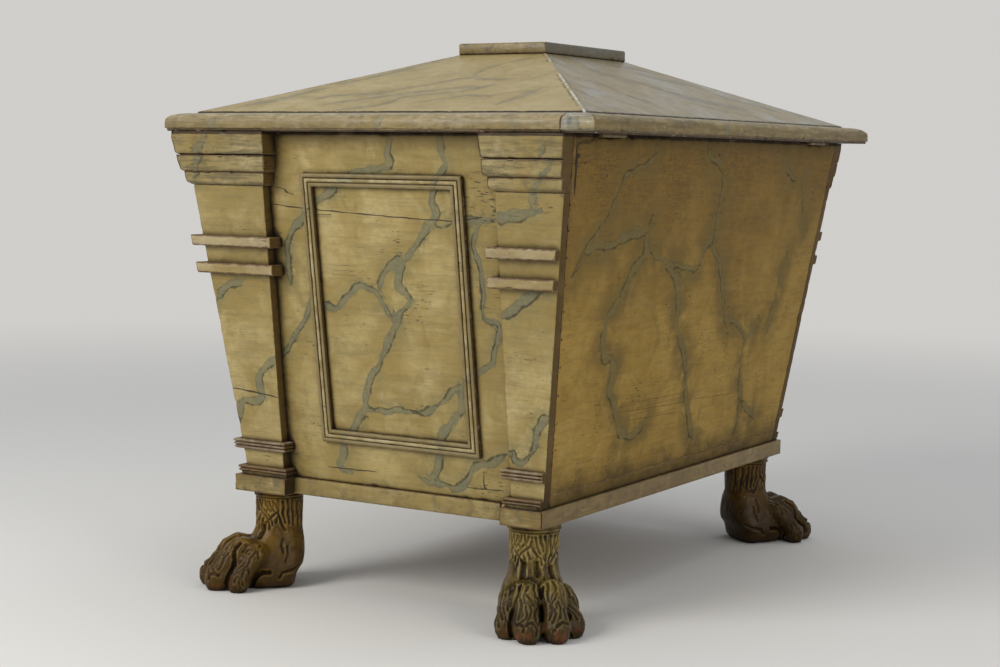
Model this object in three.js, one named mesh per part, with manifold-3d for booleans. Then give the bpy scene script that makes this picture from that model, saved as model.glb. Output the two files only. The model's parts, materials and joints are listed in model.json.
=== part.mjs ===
// A painted cellarette of tapered sarcophagus form on four carved lion-paw feet, in millimetres.
// +Z is up, the decorated front faces -Y and the plain hinged back faces +Y. The origin is on the
// floor under the middle of the lid. Every wall leans outwards as it rises, so most pieces are
// lofts between a plan at their foot and a plan at their top.
import * as THREE from "three";
import { mergeVertices } from "three/addons/utils/BufferGeometryUtils.js";
import Module from "manifold-3d";

const wasm = await Module();
wasm.setup();

// Clearances
const seat = 0.3; // between pieces that touch along a sloping face
const overrun = 4; // how far a cutting solid runs past what it cuts
const slipFit = 0.6; // a drop-in piece against the wall that holds it
const knuckleGap = 0.4; // between two knuckles of a hinge
const boreGap = 0.15; // a hinge pin in its bore, all round

// Heights above the floor
const railFoot = 110;
const railTop = 128.5;
const lidUnderside = 512;
const mouthGap = 1.5; // shadow gap between the case and the closed lid
const mouthTop = lidUnderside - mouthGap;

// Plan of the case on its pilaster faces, at the rail top and at the lid underside
const footHalfLength = 298;
const mouthHalfLength = 354.4;
const footBack = 182.2;
const mouthBack = 236;
const footFront = 204.4;
const mouthFront = 251.3;

// Boards
const boardThickness = 18;
const bottomThickness = 13.5;
const pilasterThickness = 13;

// Sunk field of an end between its two pilasters, measured from the middle plane
const fieldBackFoot = 143.5;
const fieldBackMouth = 148.5;
const fieldFrontFoot = 152.5;
const fieldFrontMouth = 144.5;

// Base frame
const railWidth = 60;
const railOut = 5; // proud of the boards
const backRailOut = 4;

// Pilaster trim: every projection is measured from the shaft, outwards and sideways
const capitalHeight = 56.5;
const capitalProjection = 9;
const capitalSide = 10.8;
const capitalRound = 4.5;
const capitalHeightShares = [0.43, 0.32, 0.25]; // top block, middle block, bottom block
const capitalProjectionShares = [1, 0.88, 0.5];
const bandHeight = 11.8;
const bandProjection = 8.5;
const bandSide = 11;
const upperBandDrop = 123.9; // from the mouth of the case down to the foot of the band
const lowerBandDrop = 154.2;
const reededHeight = 11;
const reededProjection = 6.3;
const reededSide = 8;
const reedCount = 3;
const reedDepthShare = 0.3; // of the reeded band's projection
const reededBandRise = 29.7; // from the rail top up to the foot of the band
const baseReedRise = 3;
const baseReedHeight = 7.6;
const plinthProjection = 9.7;
const plinthSide = 8;
const plinthFrontProjection = 10.9;

// Reeded panel frames
const frameFootRise = 45.9; // from the rail top up to the frame
const frameTopDrop = 42.1; // from the mouth of the case down to the frame
const frameWidth = 14.5;
const frameRise = 6;
const endFrameInsetBack = 39.5; // from the side of the sunk field at its foot
const endFrameInsetFront = 51.5;
const frontFrameInset = 43.6;

// Lid
const lidOverhangEnd = 9.1; // beyond the pilaster faces of the case
const lidOverhangBack = 34;
const lidOverhangFront = 18.7;
const edgeRailWidth = 38;
const filletDepth = 1.8;
const filletHeight = 2.8;
const noseTop = 13.5;
const noseRadius = 5.5;
const lipWidth = 24.6; // from the outer edge to the foot of the slopes
const lipRise = 21.4;
const rebateRise = 12;
const slopeBoard = 12.5; // wall of the hollow slopes, measured upright
const lidFrameWidth = 48;
const capLength = 193.4;
const capDepth = 117.5;
const capRise = 93.3;
const capThickness = 13.2;

// Butt hinges
const hingeLength = 50;
const hingeInset = 86.4; // from the end of the mouth to the middle of a hinge
const leafThickness = 1.6;
const leafWidth = 19;
const knuckleRadius = 2.5;
const pinRadius = 1.3;
const hingeRelief = 0.6; // wood cut away round the knuckles

// Liner and bottle divisions
const sheetThickness = 2;
const linerDrop = 12; // from the mouth of the case down to the rim of the liner
const dividerHeight = 180;
const dividerThickness = 6;
const cellsLong = 4;
const cellsDeep = 3;

// Lion-paw feet
const pawInsetLong = 40; // middle of the leg from the corner of the plinth
const pawInsetDeep = 32;
const pawTurn = THREE.MathUtils.degToRad(38); // away from the long axis
const legRadius = 27.2;
const collarRadius = 29.8;
const collarHeight = 8;
const pawReach = 87; // middle of the leg to the tips of the middle toes
const pawHalfWidth = 45;
const pawBack = 29;
const knuckleTop = 58;
const toeRadius = 15;
const legSides = 24;
const toeSides = 12;

// A toe's middle line from its root over the knuckle and down to the floor: how far ahead and
// aside it lies and how high, as shares of the paw's reach, half width and knuckle height, and
// its thickness as a share of the toe's radius
const middleToeShares = [
  [0.2, 0.24, 0.62, 0.6],
  [0.36, 0.28, 0.72, 0.9],
  [0.5, 0.31, 0.75, 1.04],
  [0.6, 0.32, 0.67, 1.04],
  [0.68, 0.32, 0.53, 0.88],
  [0.74, 0.32, 0.41, 0.84],
  [0.79, 0.32, 0.32, 0.95],
  [0.825, 0.32, 0.22, 0.99],
  [0.84, 0.32, 0.11, 0.88],
  [0.835, 0.32, -0.01, 0.62],
];
const outerToeShares = [
  [0.1, 0.34, 0.52, 0.6],
  [0.25, 0.47, 0.67, 0.84],
  [0.39, 0.57, 0.67, 0.96],
  [0.49, 0.62, 0.57, 0.92],
  [0.56, 0.65, 0.44, 0.78],
  [0.61, 0.68, 0.34, 0.78],
  [0.645, 0.695, 0.25, 0.9],
  [0.665, 0.7, 0.15, 0.88],
  [0.665, 0.7, 0.03, 0.72],
  [0.65, 0.7, -0.09, 0.5],
];
// The pad and the foot of the leg from the floor up: height as a share of the foot's, then back,
// half width and front as shares of the paw's own
const padStationShares = [
  [0, 0.4, 0.6, 0.55],
  [0.035, 0.58, 0.72, 0.62],
  [0.1, 0.66, 0.79, 0.66],
  [0.16, 0.74, 0.8, 0.65],
  [0.24, 0.98, 0.79, 0.6],
  [0.33, 1.05, 0.76, 0.54],
  [0.42, 1.03, 0.71, 0.44],
  [0.51, 1, 0.64, 0.35],
];
const ankleShare = 0.6; // height of the leg's narrowest place
const padRoundShare = 0.72; // 1 is an oval pad, less is a squarer one

// Paint, metal and wood
const straw = [0.66, 0.58, 0.38];
const ochre = [0.52, 0.42, 0.24];
const bronzed = [0.22, 0.15, 0.05];
const brassColour = [0.55, 0.42, 0.2];
const zincColour = [0.42, 0.44, 0.45];
const pineColour = [0.5, 0.36, 0.2];

const object = new THREE.Group();

function addPiece(name, geometry, colour, roughness, metalness = 0) {
  const material = new THREE.MeshStandardMaterial({ roughness, metalness });
  material.color.setRGB(...colour);
  const mesh = new THREE.Mesh(geometry, material);
  mesh.name = name;
  object.add(mesh);
  return mesh;
}

const addPainted = (name, geometry) => addPiece(name, geometry, straw, 0.55);
const addPlain = (name, geometry) => addPiece(name, geometry, ochre, 0.6);

// The faces of the case at a height
const mixAt = (foot, mouth, z) =>
  THREE.MathUtils.mapLinear(z, railTop, lidUnderside, foot, mouth);
const endFace = (z) => mixAt(footHalfLength, mouthHalfLength, z);
const backFace = (z) => mixAt(footBack, mouthBack, z);
const frontFace = (z) => mixAt(footFront, mouthFront, z);
const fieldBack = (z) => mixAt(fieldBackFoot, fieldBackMouth, z);
const fieldFront = (z) => mixAt(fieldFrontFoot, fieldFrontMouth, z);
const endOuter = (z) => endFace(z) - pilasterThickness;
const endInner = (z) => endOuter(z) - boardThickness;
const backInner = (z) => backFace(z) - boardThickness;
const frontOuter = (z) => frontFace(z) - pilasterThickness;
const frontInner = (z) => frontOuter(z) - boardThickness;
// The front pilasters are as wide as the end ones, measured from the corner
const frontField = (z) => endFace(z) - (frontFace(z) - fieldFront(z));

function signedVolume(position, index) {
  let sum = 0;
  const corner = (i) => new THREE.Vector3(...position.slice(i * 3, i * 3 + 3));
  for (let i = 0; i < index.length; i += 3) {
    const [a, b, c] = [index[i], index[i + 1], index[i + 2]].map(corner);
    sum += a.dot(b.cross(c));
  }
  return sum;
}

function capFaces(ring, offset) {
  const normal = new THREE.Vector3();
  ring.forEach((p, i) => normal.add(p.clone().cross(ring[(i + 1) % ring.length])));
  const size = normal.toArray().map(Math.abs);
  const dropped = size.indexOf(Math.max(...size));
  const kept = [0, 1, 2].filter((axis) => axis !== dropped);
  const flat = ring.map((p) => new THREE.Vector2(...kept.map((axis) => p.getComponent(axis))));
  const side = Math.sign(THREE.ShapeUtils.area(flat));
  return THREE.ShapeUtils.triangulateShape(flat, []).map((face) => {
    const turned = Math.sign(THREE.ShapeUtils.area(face.map((i) => flat[i]))) !== side;
    const ordered = turned ? [face[0], face[2], face[1]] : face;
    return ordered.map((i) => i + offset);
  });
}

// A skin through rings of points with equal counts, closed by flat caps or round on itself
function loft(rings, closed = false) {
  const count = rings[0].length;
  const position = rings.flat().flatMap((p) => [p.x, p.y, p.z]);
  const index = [];
  const steps = closed ? rings.length : rings.length - 1;
  for (let r = 0; r < steps; r++) {
    const here = r * count;
    const there = ((r + 1) % rings.length) * count;
    for (let i = 0; i < count; i++) {
      const next = (i + 1) % count;
      index.push(here + i, here + next, there + next);
      index.push(here + i, there + next, there + i);
    }
  }
  if (!closed) {
    const last = rings.length - 1;
    capFaces(rings[0], 0).forEach(([a, b, c]) => index.push(a, c, b));
    capFaces(rings[last], last * count).forEach((face) => index.push(...face));
  }
  const outwards = signedVolume(position, index) > 0 ? index : index.reverse();
  const geometry = new THREE.BufferGeometry();
  geometry.setAttribute("position", new THREE.Float32BufferAttribute(position, 3));
  geometry.setIndex(outwards);
  return geometry;
}

const ringAt = (plan, z) => plan.map(([x, y]) => new THREE.Vector3(x, y, z));

// A solid whose plan at each height is given by a function of the height
const rise = (planAt, ...heights) => loft(heights.map((z) => ringAt(planAt(z), z)));

const mirrorPlan = (plan, side) => plan.map(([x, y]) => [x * side, y]);

function toSolid(geometry) {
  const bare = geometry.clone();
  bare.deleteAttribute("normal");
  bare.deleteAttribute("uv");
  const merged = mergeVertices(bare, seat / 1000);
  return new wasm.Manifold(
    new wasm.Mesh({
      numProp: 3,
      vertProperties: merged.attributes.position.array,
      triVerts: new Uint32Array(merged.index.array),
    }),
  );
}

function toGeometry(solid) {
  const mesh = solid.getMesh();
  const position = [];
  for (let i = 0; i < mesh.numVert; i++) {
    const at = i * mesh.numProp;
    position.push(...mesh.vertProperties.slice(at, at + 3));
  }
  const geometry = new THREE.BufferGeometry();
  geometry.setAttribute("position", new THREE.Float32BufferAttribute(position, 3));
  geometry.setIndex([...mesh.triVerts]);
  return geometry;
}

const join = (first, ...others) =>
  toGeometry(others.reduce((sum, g) => sum.add(toSolid(g)), toSolid(first)));
const cut = (first, ...others) =>
  toGeometry(others.reduce((sum, g) => sum.subtract(toSolid(g)), toSolid(first)));
const keepWithin = (first, other) => toGeometry(toSolid(first).intersect(toSolid(other)));

// A box between two corners
function block(x0, x1, y0, y1, z0, z1) {
  const geometry = new THREE.BoxGeometry(x1 - x0, y1 - y0, z1 - z0);
  return geometry.translate((x0 + x1) / 2, (y0 + y1) / 2, (z0 + z1) / 2);
}

const ends = [
  { name: "right", side: 1 },
  { name: "left", side: -1 },
];

// Case boards
const bottomTop = railTop + bottomThickness;

function bottomPlan(z) {
  const inside = endInner(z) - seat;
  const outside = endOuter(z);
  const front = -(frontInner(z) - seat);
  const step = backInner(z);
  return [
    [-inside, front],
    [inside, front],
    [inside, step],
    [outside, step],
    [outside, backFace(z)],
    [-outside, backFace(z)],
    [-outside, step],
    [-inside, step],
  ];
}

function endBoardPlan(z) {
  const front = -(frontInner(z) - seat);
  const back = backInner(z) - seat;
  return [
    [endInner(z), front],
    [endOuter(z), front],
    [endOuter(z), back],
    [endInner(z), back],
  ];
}

function frontBoardPlan(z) {
  const half = endOuter(z);
  return [
    [-half, -frontOuter(z)],
    [half, -frontOuter(z)],
    [half, -frontInner(z)],
    [-half, -frontInner(z)],
  ];
}

function backBoardPlan(z) {
  const half = endOuter(z);
  return [
    [-half, backInner(z)],
    [half, backInner(z)],
    [half, backFace(z)],
    [-half, backFace(z)],
  ];
}

// Hinges: the pin stands just behind the back board, level with the shadow gap
const hingeAxisZ = lidUnderside - mouthGap / 2;
const hingeAxisY = backFace(mouthTop) + knuckleRadius + seat;
const leafFront = backFace(mouthTop) - leafWidth;
const leafBack = backFace(mouthTop);

const hingeHalf = hingeLength / 2 + seat;

const caseRecess = (x) =>
  block(
    x - hingeHalf,
    x + hingeHalf,
    leafFront - seat,
    leafBack + overrun,
    mouthTop - leafThickness - seat,
    mouthTop + overrun,
  );

const leafRecess = (x) =>
  block(
    x - hingeHalf,
    x + hingeHalf,
    leafFront - seat,
    hingeAxisY,
    lidUnderside - overrun,
    lidUnderside + leafThickness + seat,
  );
const knuckleRecess = (x) =>
  block(
    x - hingeHalf,
    x + hingeHalf,
    leafBack - leafThickness,
    hingeAxisY + knuckleRadius + hingeRelief,
    lidUnderside - overrun,
    hingeAxisZ + knuckleRadius + hingeRelief,
  );

const hingePlaces = ends.map(({ side }) => side * (mouthHalfLength - hingeInset));

addPiece("bottom_board", rise(bottomPlan, railTop, bottomTop), pineColour, 0.8);
addPainted("front_board", rise(frontBoardPlan, railTop, mouthTop));
addPlain(
  "back_board",
  cut(rise(backBoardPlan, bottomTop, mouthTop), ...hingePlaces.map(caseRecess)),
);
for (const { name, side } of ends)
  addPainted(
    `${name}_end_board`,
    rise((z) => mirrorPlan(endBoardPlan(z), side), railTop, mouthTop),
  );

// Base frame: the back rail runs out to the corners and is mitred to the plinth blocks there
const railEnd = endOuter(railTop) + railOut;
const railFront = frontOuter(railTop) + railOut;
const railBack = footBack + backRailOut;
const plinthEnd = footHalfLength + plinthProjection;
const plinthFront = footFront + plinthFrontProjection;
const plinthThickness = plinthEnd - railEnd;
const backRailInner = railBack - railWidth;

addPainted(
  "front_rail",
  block(
    -(railEnd - railWidth - seat),
    railEnd - railWidth - seat,
    -railFront,
    -(railFront - railWidth),
    railFoot,
    railTop,
  ),
);
addPlain(
  "back_rail",
  rise(
    () => [
      [-railEnd, backRailInner],
      [railEnd, backRailInner],
      [railEnd, railBack - plinthThickness],
      [plinthEnd, railBack],
      [-plinthEnd, railBack],
      [-railEnd, railBack - plinthThickness],
    ],
    railFoot,
    railTop,
  ),
);
for (const { name, side } of ends) {
  const inner = side * (railEnd - railWidth);
  const outer = side * railEnd;
  addPainted(
    `${name}_end_rail`,
    block(
      Math.min(inner, outer),
      Math.max(inner, outer),
      -railFront,
      backRailInner - seat,
      railFoot,
      railTop,
    ),
  );
}

// Pilaster shafts. A front corner's shaft is an angle that covers both faces of the corner
const shaftTop = mouthTop - capitalHeight;

function backShaftPlan(z) {
  return [
    [endOuter(z) + seat, fieldBack(z)],
    [endFace(z), fieldBack(z)],
    [endFace(z), backFace(z)],
    [endOuter(z) + seat, backFace(z)],
  ];
}

function frontShaftPlan(z) {
  return [
    [endOuter(z) + seat, -fieldFront(z)],
    [endFace(z), -fieldFront(z)],
    [endFace(z), -frontFace(z)],
    [frontField(z), -frontFace(z)],
    [frontField(z), -(frontOuter(z) + seat)],
    [endOuter(z) + seat, -(frontOuter(z) + seat)],
  ];
}

// A solid block round the shaft's place, as in the capital
function backBlockPlan(z, out, sideways) {
  return [
    [endOuter(z) + seat, fieldBack(z) - sideways],
    [endFace(z) + out, fieldBack(z) - sideways],
    [endFace(z) + out, backFace(z)],
    [endOuter(z) + seat, backFace(z)],
  ];
}

function frontBlockPlan(z, out, sideways) {
  return [
    [endOuter(z) + seat, -fieldFront(z) + sideways],
    [endFace(z) + out, -fieldFront(z) + sideways],
    [endFace(z) + out, -frontFace(z) - sideways],
    [frontField(z) - sideways, -frontFace(z) - sideways],
    [frontField(z) - sideways, -(frontOuter(z) + seat)],
    [endOuter(z) + seat, -(frontOuter(z) + seat)],
  ];
}

// A strip bent round the shaft, returned to the board on its inner sides
function backStripPlan(z, out, sideways) {
  return [
    [endOuter(z) + seat, fieldBack(z) - sideways],
    [endFace(z) + out, fieldBack(z) - sideways],
    [endFace(z) + out, backFace(z)],
    [endFace(z) + seat, backFace(z)],
    [endFace(z) + seat, fieldBack(z) - seat],
    [endOuter(z) + seat, fieldBack(z) - seat],
  ];
}

function frontStripPlan(z, out, sideways) {
  return [
    [endOuter(z) + seat, -fieldFront(z) + sideways],
    [endFace(z) + out, -fieldFront(z) + sideways],
    [endFace(z) + out, -frontFace(z) - sideways],
    [frontField(z) - sideways, -frontFace(z) - sideways],
    [frontField(z) - sideways, -(frontOuter(z) + seat)],
    [frontField(z) - seat, -(frontOuter(z) + seat)],
    [frontField(z) - seat, -frontFace(z) - seat],
    [endFace(z) + seat, -frontFace(z) - seat],
    [endFace(z) + seat, -fieldFront(z) + seat],
    [endOuter(z) + seat, -fieldFront(z) + seat],
  ];
}

// Rounds of a capital block: its lower edge is rolled under by a quarter circle
function capitalProfile() {
  const points = [];
  let z = mouthTop;
  capitalHeightShares.forEach((heightShare, i) => {
    const foot = z - heightShare * capitalHeight;
    const share = capitalProjectionShares[i];
    points.push([z, share, 0]);
    for (const turn of [0, 1, 2, 3]) {
      const angle = (turn / 3) * (Math.PI / 2);
      const lift = capitalRound * (1 - Math.sin(angle));
      points.push([foot + lift, share, capitalRound * (1 - Math.cos(angle))]);
    }
    z = foot;
  });
  return points;
}

// A row of half-round reeds between two heights, as height and share of the projection
function reedProfile(foot, height, count) {
  const points = [];
  for (let reed = 0; reed < count; reed++)
    for (const turn of [0, 1, 2, 3, 4]) {
      if (reed > 0 && turn === 0) continue;
      const angle = (turn / 4) * Math.PI;
      const z = foot + ((reed + (1 - Math.cos(angle)) / 2) * height) / count;
      points.push([z, 1 - reedDepthShare * (1 - Math.sin(angle))]);
    }
  return points;
}

const corners = ends.flatMap((end) => [
  {
    name: `front_${end.name}`,
    side: end.side,
    shaft: frontShaftPlan,
    solid: frontBlockPlan,
    strip: frontStripPlan,
  },
  {
    name: `back_${end.name}`,
    side: end.side,
    shaft: backShaftPlan,
    solid: backBlockPlan,
    strip: backStripPlan,
  },
]);

const profileLoft = (plan, side, stations) =>
  loft(stations.map(([z, out, sideways]) => ringAt(mirrorPlan(plan(z, out, sideways), side), z)));

// Plinth block under a corner, in front of the base frame
function plinthPlan(corner) {
  const inner = railEnd + seat;
  if (corner.name.startsWith("back"))
    return [
      [inner, fieldBackFoot - plinthSide],
      [plinthEnd, fieldBackFoot - plinthSide],
      [plinthEnd, railBack - seat],
      [inner, railBack - plinthThickness],
    ];
  return [
    [inner, -fieldFrontFoot + plinthSide],
    [plinthEnd, -fieldFrontFoot + plinthSide],
    [plinthEnd, -plinthFront],
    [frontField(railTop) - plinthSide, -plinthFront],
    [frontField(railTop) - plinthSide, -railFront - seat],
    [inner, -railFront - seat],
  ];
}

for (const corner of corners) {
  const { name, side } = corner;
  addPainted(
    `${name}_pilaster`,
    rise((z) => mirrorPlan(corner.shaft(z), side), railTop, shaftTop),
  );

  const capital = capitalProfile().map(([z, share, back]) => [
    z,
    capitalProjection * share - back,
    capitalSide * share - back,
  ]);
  addPainted(`${name}_capital`, profileLoft(corner.solid, side, capital));

  for (const [band, foot] of [
    ["upper_band", mouthTop - upperBandDrop],
    ["lower_band", mouthTop - lowerBandDrop],
  ]) {
    const stations = [foot, foot + bandHeight].map((z) => [z, bandProjection, bandSide]);
    addPainted(`${name}_${band}`, profileLoft(corner.strip, side, stations));
  }

  const reeds = (foot, height, count) =>
    reedProfile(foot, height, count).map(([z, share]) => [
      z,
      reededProjection * share,
      reededSide * share,
    ]);
  addPainted(
    `${name}_reeded_band`,
    profileLoft(corner.strip, side, reeds(railTop + reededBandRise, reededHeight, reedCount)),
  );

  // The pilaster's foot: plinth block, short neck and two reeds in one piece
  const neckShare = 1 - reedDepthShare;
  const neck = [railTop, reededProjection * neckShare, reededSide * neckShare];
  const upper = profileLoft(corner.strip, side, [
    neck,
    ...reeds(railTop + baseReedRise, baseReedHeight, reedCount - 1),
  ]);
  const lower = rise(() => mirrorPlan(plinthPlan(corner), side), railFoot, railTop);
  addPainted(`${name}_pilaster_foot`, join(lower, upper));
}

// Reeded frames, mitred at their corners, laid on the sloping boards
function frameProfile() {
  const points = [[0, 0]];
  const flat = frameRise * (1 - reedDepthShare);
  for (let reed = 0; reed < reedCount; reed++)
    for (const turn of [0, 1, 2, 3, 4]) {
      if (reed > 0 && turn === 0) continue;
      const angle = (turn / 4) * Math.PI;
      const across = ((reed + (1 - Math.cos(angle)) / 2) * frameWidth) / reedCount;
      points.push([across, flat + (frameRise - flat) * Math.sin(angle)]);
    }
  points.push([frameWidth, 0]);
  return points;
}

// place(along, z, out) puts a point of a frame on its board
function reededFrame(from, to, place) {
  const foot = railTop + frameFootRise;
  const top = mouthTop - frameTopDrop;
  const turns = [
    [from, 1, foot, 1],
    [to, -1, foot, 1],
    [to, -1, top, -1],
    [from, 1, top, -1],
  ];
  const rings = turns.map(([along, inwards, z, upwards]) =>
    frameProfile().map(([across, out]) => place(along + inwards * across, z + upwards * across, out)),
  );
  return loft(rings, true);
}

const endFrameFront = endFrameInsetFront - fieldFrontFoot;
const endFrameBack = fieldBackFoot - endFrameInsetBack;
const frontFrameHalf = frontField(railTop) - frontFrameInset;
for (const { name, side } of ends)
  addPainted(
    `${name}_end_frame`,
    reededFrame(endFrameFront, endFrameBack, (along, z, out) => {
      const x = side * (endOuter(z) + seat + out);
      return new THREE.Vector3(x, along, z);
    }),
  );
addPainted(
  "front_frame",
  reededFrame(-frontFrameHalf, frontFrameHalf, (along, z, out) => {
    const y = -(frontOuter(z) + seat + out);
    return new THREE.Vector3(along, y, z);
  }),
);

// Half length of the lid, and how far it reaches to the back and to the front
const halfLid = mouthHalfLength + lidOverhangEnd;
const lidBack = mouthBack + lidOverhangBack;
const lidFront = mouthFront + lidOverhangFront;
const lidMiddle = (lidBack - lidFront) / 2;

// Lid edge: one moulded section swept round the four sides, then parted into four rails
function edgeProfile() {
  const points = [
    [filletDepth, 0],
    [edgeRailWidth, 0],
    [edgeRailWidth, rebateRise],
    [lipWidth, rebateRise],
    [lipWidth, lipRise],
  ];
  for (const turn of [0, 1, 2, 3]) {
    const angle = (turn / 3) * (Math.PI / 2);
    points.push([
      noseRadius * (1 - Math.sin(angle)),
      noseTop - noseRadius * (1 - Math.cos(angle)),
    ]);
  }
  points.push([0, filletHeight], [filletDepth, filletHeight]);
  return points;
}

function edgeRing() {
  const turns = [
    [-halfLid, 1, -lidFront, 1],
    [halfLid, -1, -lidFront, 1],
    [halfLid, -1, lidBack, -1],
    [-halfLid, 1, lidBack, -1],
  ];
  const rings = turns.map(([x, towardsX, y, towardsY]) =>
    edgeProfile().map(
      ([inwards, up]) =>
        new THREE.Vector3(x + towardsX * inwards, y + towardsY * inwards, lidUnderside + up),
    ),
  );
  return loft(rings, true);
}

const prism = (plan) => rise(() => plan, lidUnderside - overrun, lidUnderside + lipRise + overrun);
const edge = edgeRing();
const buttLine = lidBack - edgeRailWidth; // the back rail runs through to both ends
const frontInnerX = halfLid - edgeRailWidth;
const frontInnerY = edgeRailWidth - lidFront;

addPainted(
  "lid_back_rail",
  cut(
    keepWithin(
      edge,
      block(
        -halfLid - overrun,
        halfLid + overrun,
        buttLine,
        lidBack + overrun,
        lidUnderside - overrun,
        lidUnderside + lipRise + overrun,
      ),
    ),
    ...hingePlaces.flatMap((x) => [leafRecess(x), knuckleRecess(x)]),
  ),
);
// The mitre runs at 45 degrees from the outer corner, with half a seat on each side
const mitre = seat / 2;
addPainted(
  "lid_front_rail",
  keepWithin(
    edge,
    prism([
      [-halfLid - overrun + mitre, -lidFront - overrun],
      [halfLid + overrun - mitre, -lidFront - overrun],
      [frontInnerX - overrun - mitre, frontInnerY + overrun],
      [-frontInnerX + overrun + mitre, frontInnerY + overrun],
    ]),
  ),
);
for (const { name, side } of ends)
  addPainted(
    `lid_${name}_rail`,
    keepWithin(
      edge,
      prism(
        mirrorPlan(
          [
            [halfLid + overrun + mitre, -lidFront - overrun],
            [halfLid + overrun, buttLine - seat],
            [frontInnerX - overrun, buttLine - seat],
            [frontInnerX - overrun + mitre, frontInnerY + overrun],
          ],
          side,
        ),
      ),
    ),
  );

// Inner lid frame, glued inside the edge rails; it rests over the walls of the case
const frameOuterX = frontInnerX - seat;
const frameFrontY = frontInnerY + seat;
const frameBackY = buttLine - seat;
addPiece(
  "lid_inner_frame",
  cut(
    block(
      -frameOuterX,
      frameOuterX,
      frameFrontY,
      frameBackY,
      lidUnderside,
      lidUnderside + rebateRise,
    ),
    block(
      -frameOuterX + lidFrameWidth,
      frameOuterX - lidFrameWidth,
      frameFrontY + lidFrameWidth,
      frameBackY - lidFrameWidth,
      lidUnderside - overrun,
      lidUnderside + rebateRise + overrun,
    ),
    ...hingePlaces.flatMap((x) => [leafRecess(x), knuckleRecess(x)]),
  ),
  pineColour,
  0.8,
);

// Four sloping boards mitred into a hollow hipped top, which sits in the rebate of the edge rails
const slopeFootX = halfLid - lipWidth - seat;
const slopeFootBack = lidBack - lipWidth - seat;
const slopeFootFront = lipWidth + seat - lidFront;
const slopeRun = (z) => THREE.MathUtils.mapLinear(z, lipRise, capRise, 0, 1);
const hipPlan = (z) => {
  const share = slopeRun(z - lidUnderside);
  const x = THREE.MathUtils.lerp(slopeFootX, capLength / 2, share);
  const back = THREE.MathUtils.lerp(slopeFootBack, lidMiddle + capDepth / 2, share);
  const front = THREE.MathUtils.lerp(slopeFootFront, lidMiddle - capDepth / 2, share);
  return [
    [-x, front],
    [x, front],
    [x, back],
    [-x, back],
  ];
};
const slopeFoot = lidUnderside + rebateRise;
const slopeLip = lidUnderside + lipRise;
const slopeTop = lidUnderside + capRise;
const outerHip = loft([
  ringAt(hipPlan(slopeLip), slopeFoot),
  ringAt(hipPlan(slopeLip), slopeLip),
  ringAt(hipPlan(slopeTop), slopeTop),
]);
const innerHip = loft([
  ringAt(hipPlan(slopeFoot - overrun + slopeBoard), slopeFoot - overrun),
  ringAt(hipPlan(slopeTop), slopeTop - slopeBoard),
]);
addPainted("lid_slopes", cut(outerHip, innerHip));

addPainted(
  "lid_cap",
  block(
    -capLength / 2,
    capLength / 2,
    lidMiddle - capDepth / 2,
    lidMiddle + capDepth / 2,
    slopeTop,
    slopeTop + capThickness,
  ),
);

// Butt hinges: two case knuckles and one lid knuckle on a pin along X
function barrel(from, to, radius) {
  const geometry = new THREE.CylinderGeometry(radius, radius, to - from, 16);
  geometry.rotateZ(Math.PI / 2);
  return geometry.translate((from + to) / 2, hingeAxisY, hingeAxisZ);
}

function hingeLeaf(x, z0, z1, knuckles) {
  const plate = block(x - hingeLength / 2, x + hingeLength / 2, leafFront, leafBack - seat, z0, z1);
  const webs = knuckles.map(([from, to]) =>
    block(from, to, leafBack - seat - leafThickness, hingeAxisY, z0, z1),
  );
  const barrels = knuckles.map(([from, to]) => barrel(from, to, knuckleRadius));
  const bore = barrel(
    x - hingeLength / 2 - overrun,
    x + hingeLength / 2 + overrun,
    pinRadius + boreGap,
  );
  return cut(join(plate, ...webs, ...barrels), bore);
}

ends.forEach(({ name }, i) => {
  const x = hingePlaces[i];
  const third = hingeLength / 3;
  const start = x - hingeLength / 2;
  const outerKnuckles = [
    [start, start + third - knuckleGap / 2],
    [start + 2 * third + knuckleGap / 2, start + hingeLength],
  ];
  const middleKnuckle = [
    [start + third + knuckleGap / 2, start + 2 * third - knuckleGap / 2],
  ];
  const brass = [brassColour, 0.45, 1];
  const caseLeaf = hingeLeaf(x, mouthTop - leafThickness, mouthTop, outerKnuckles);
  const lidLeaf = hingeLeaf(x, lidUnderside, lidUnderside + leafThickness, middleKnuckle);
  addPiece(`${name}_hinge_case_leaf`, caseLeaf, ...brass);
  addPiece(`${name}_hinge_lid_leaf`, lidLeaf, ...brass);
  addPiece(`${name}_hinge_pin`, barrel(start, start + hingeLength, pinRadius), ...brass);
});

// Metal liner: an open box that follows the leaning walls
const linerPlan = (inset) => (z) => {
  const x = endInner(z) - slipFit - inset;
  const front = -(frontInner(z) - slipFit - inset);
  const back = backInner(z) - slipFit - inset;
  return [
    [-x, front],
    [x, front],
    [x, back],
    [-x, back],
  ];
};
const linerFloor = bottomTop + sheetThickness;
const linerRim = mouthTop - linerDrop;
addPiece(
  "liner",
  cut(
    rise(linerPlan(0), bottomTop, linerRim),
    rise(linerPlan(sheetThickness), linerFloor, linerRim + overrun),
  ),
  zincColour,
  0.5,
  1,
);

// Bottle divisions, halved into each other: the long ones are slotted from the top
const dividerTop = linerFloor + dividerHeight;
const halving = linerFloor + dividerHeight / 2;
const slotHalf = dividerThickness / 2 + seat;
const clear = sheetThickness + 2 * slipFit;
const cellX = (i, z) => {
  const half = endInner(z) - clear;
  return THREE.MathUtils.lerp(-half, half, i / cellsLong);
};
const cellY = (i, z) =>
  THREE.MathUtils.lerp(-(frontInner(z) - clear), backInner(z) - clear, i / cellsDeep);
const crossPlaces = Array.from({ length: cellsLong - 1 }, (_, i) => cellX(i + 1, linerFloor));
const longPlaces = Array.from({ length: cellsDeep - 1 }, (_, i) => cellY(i + 1, linerFloor));

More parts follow.
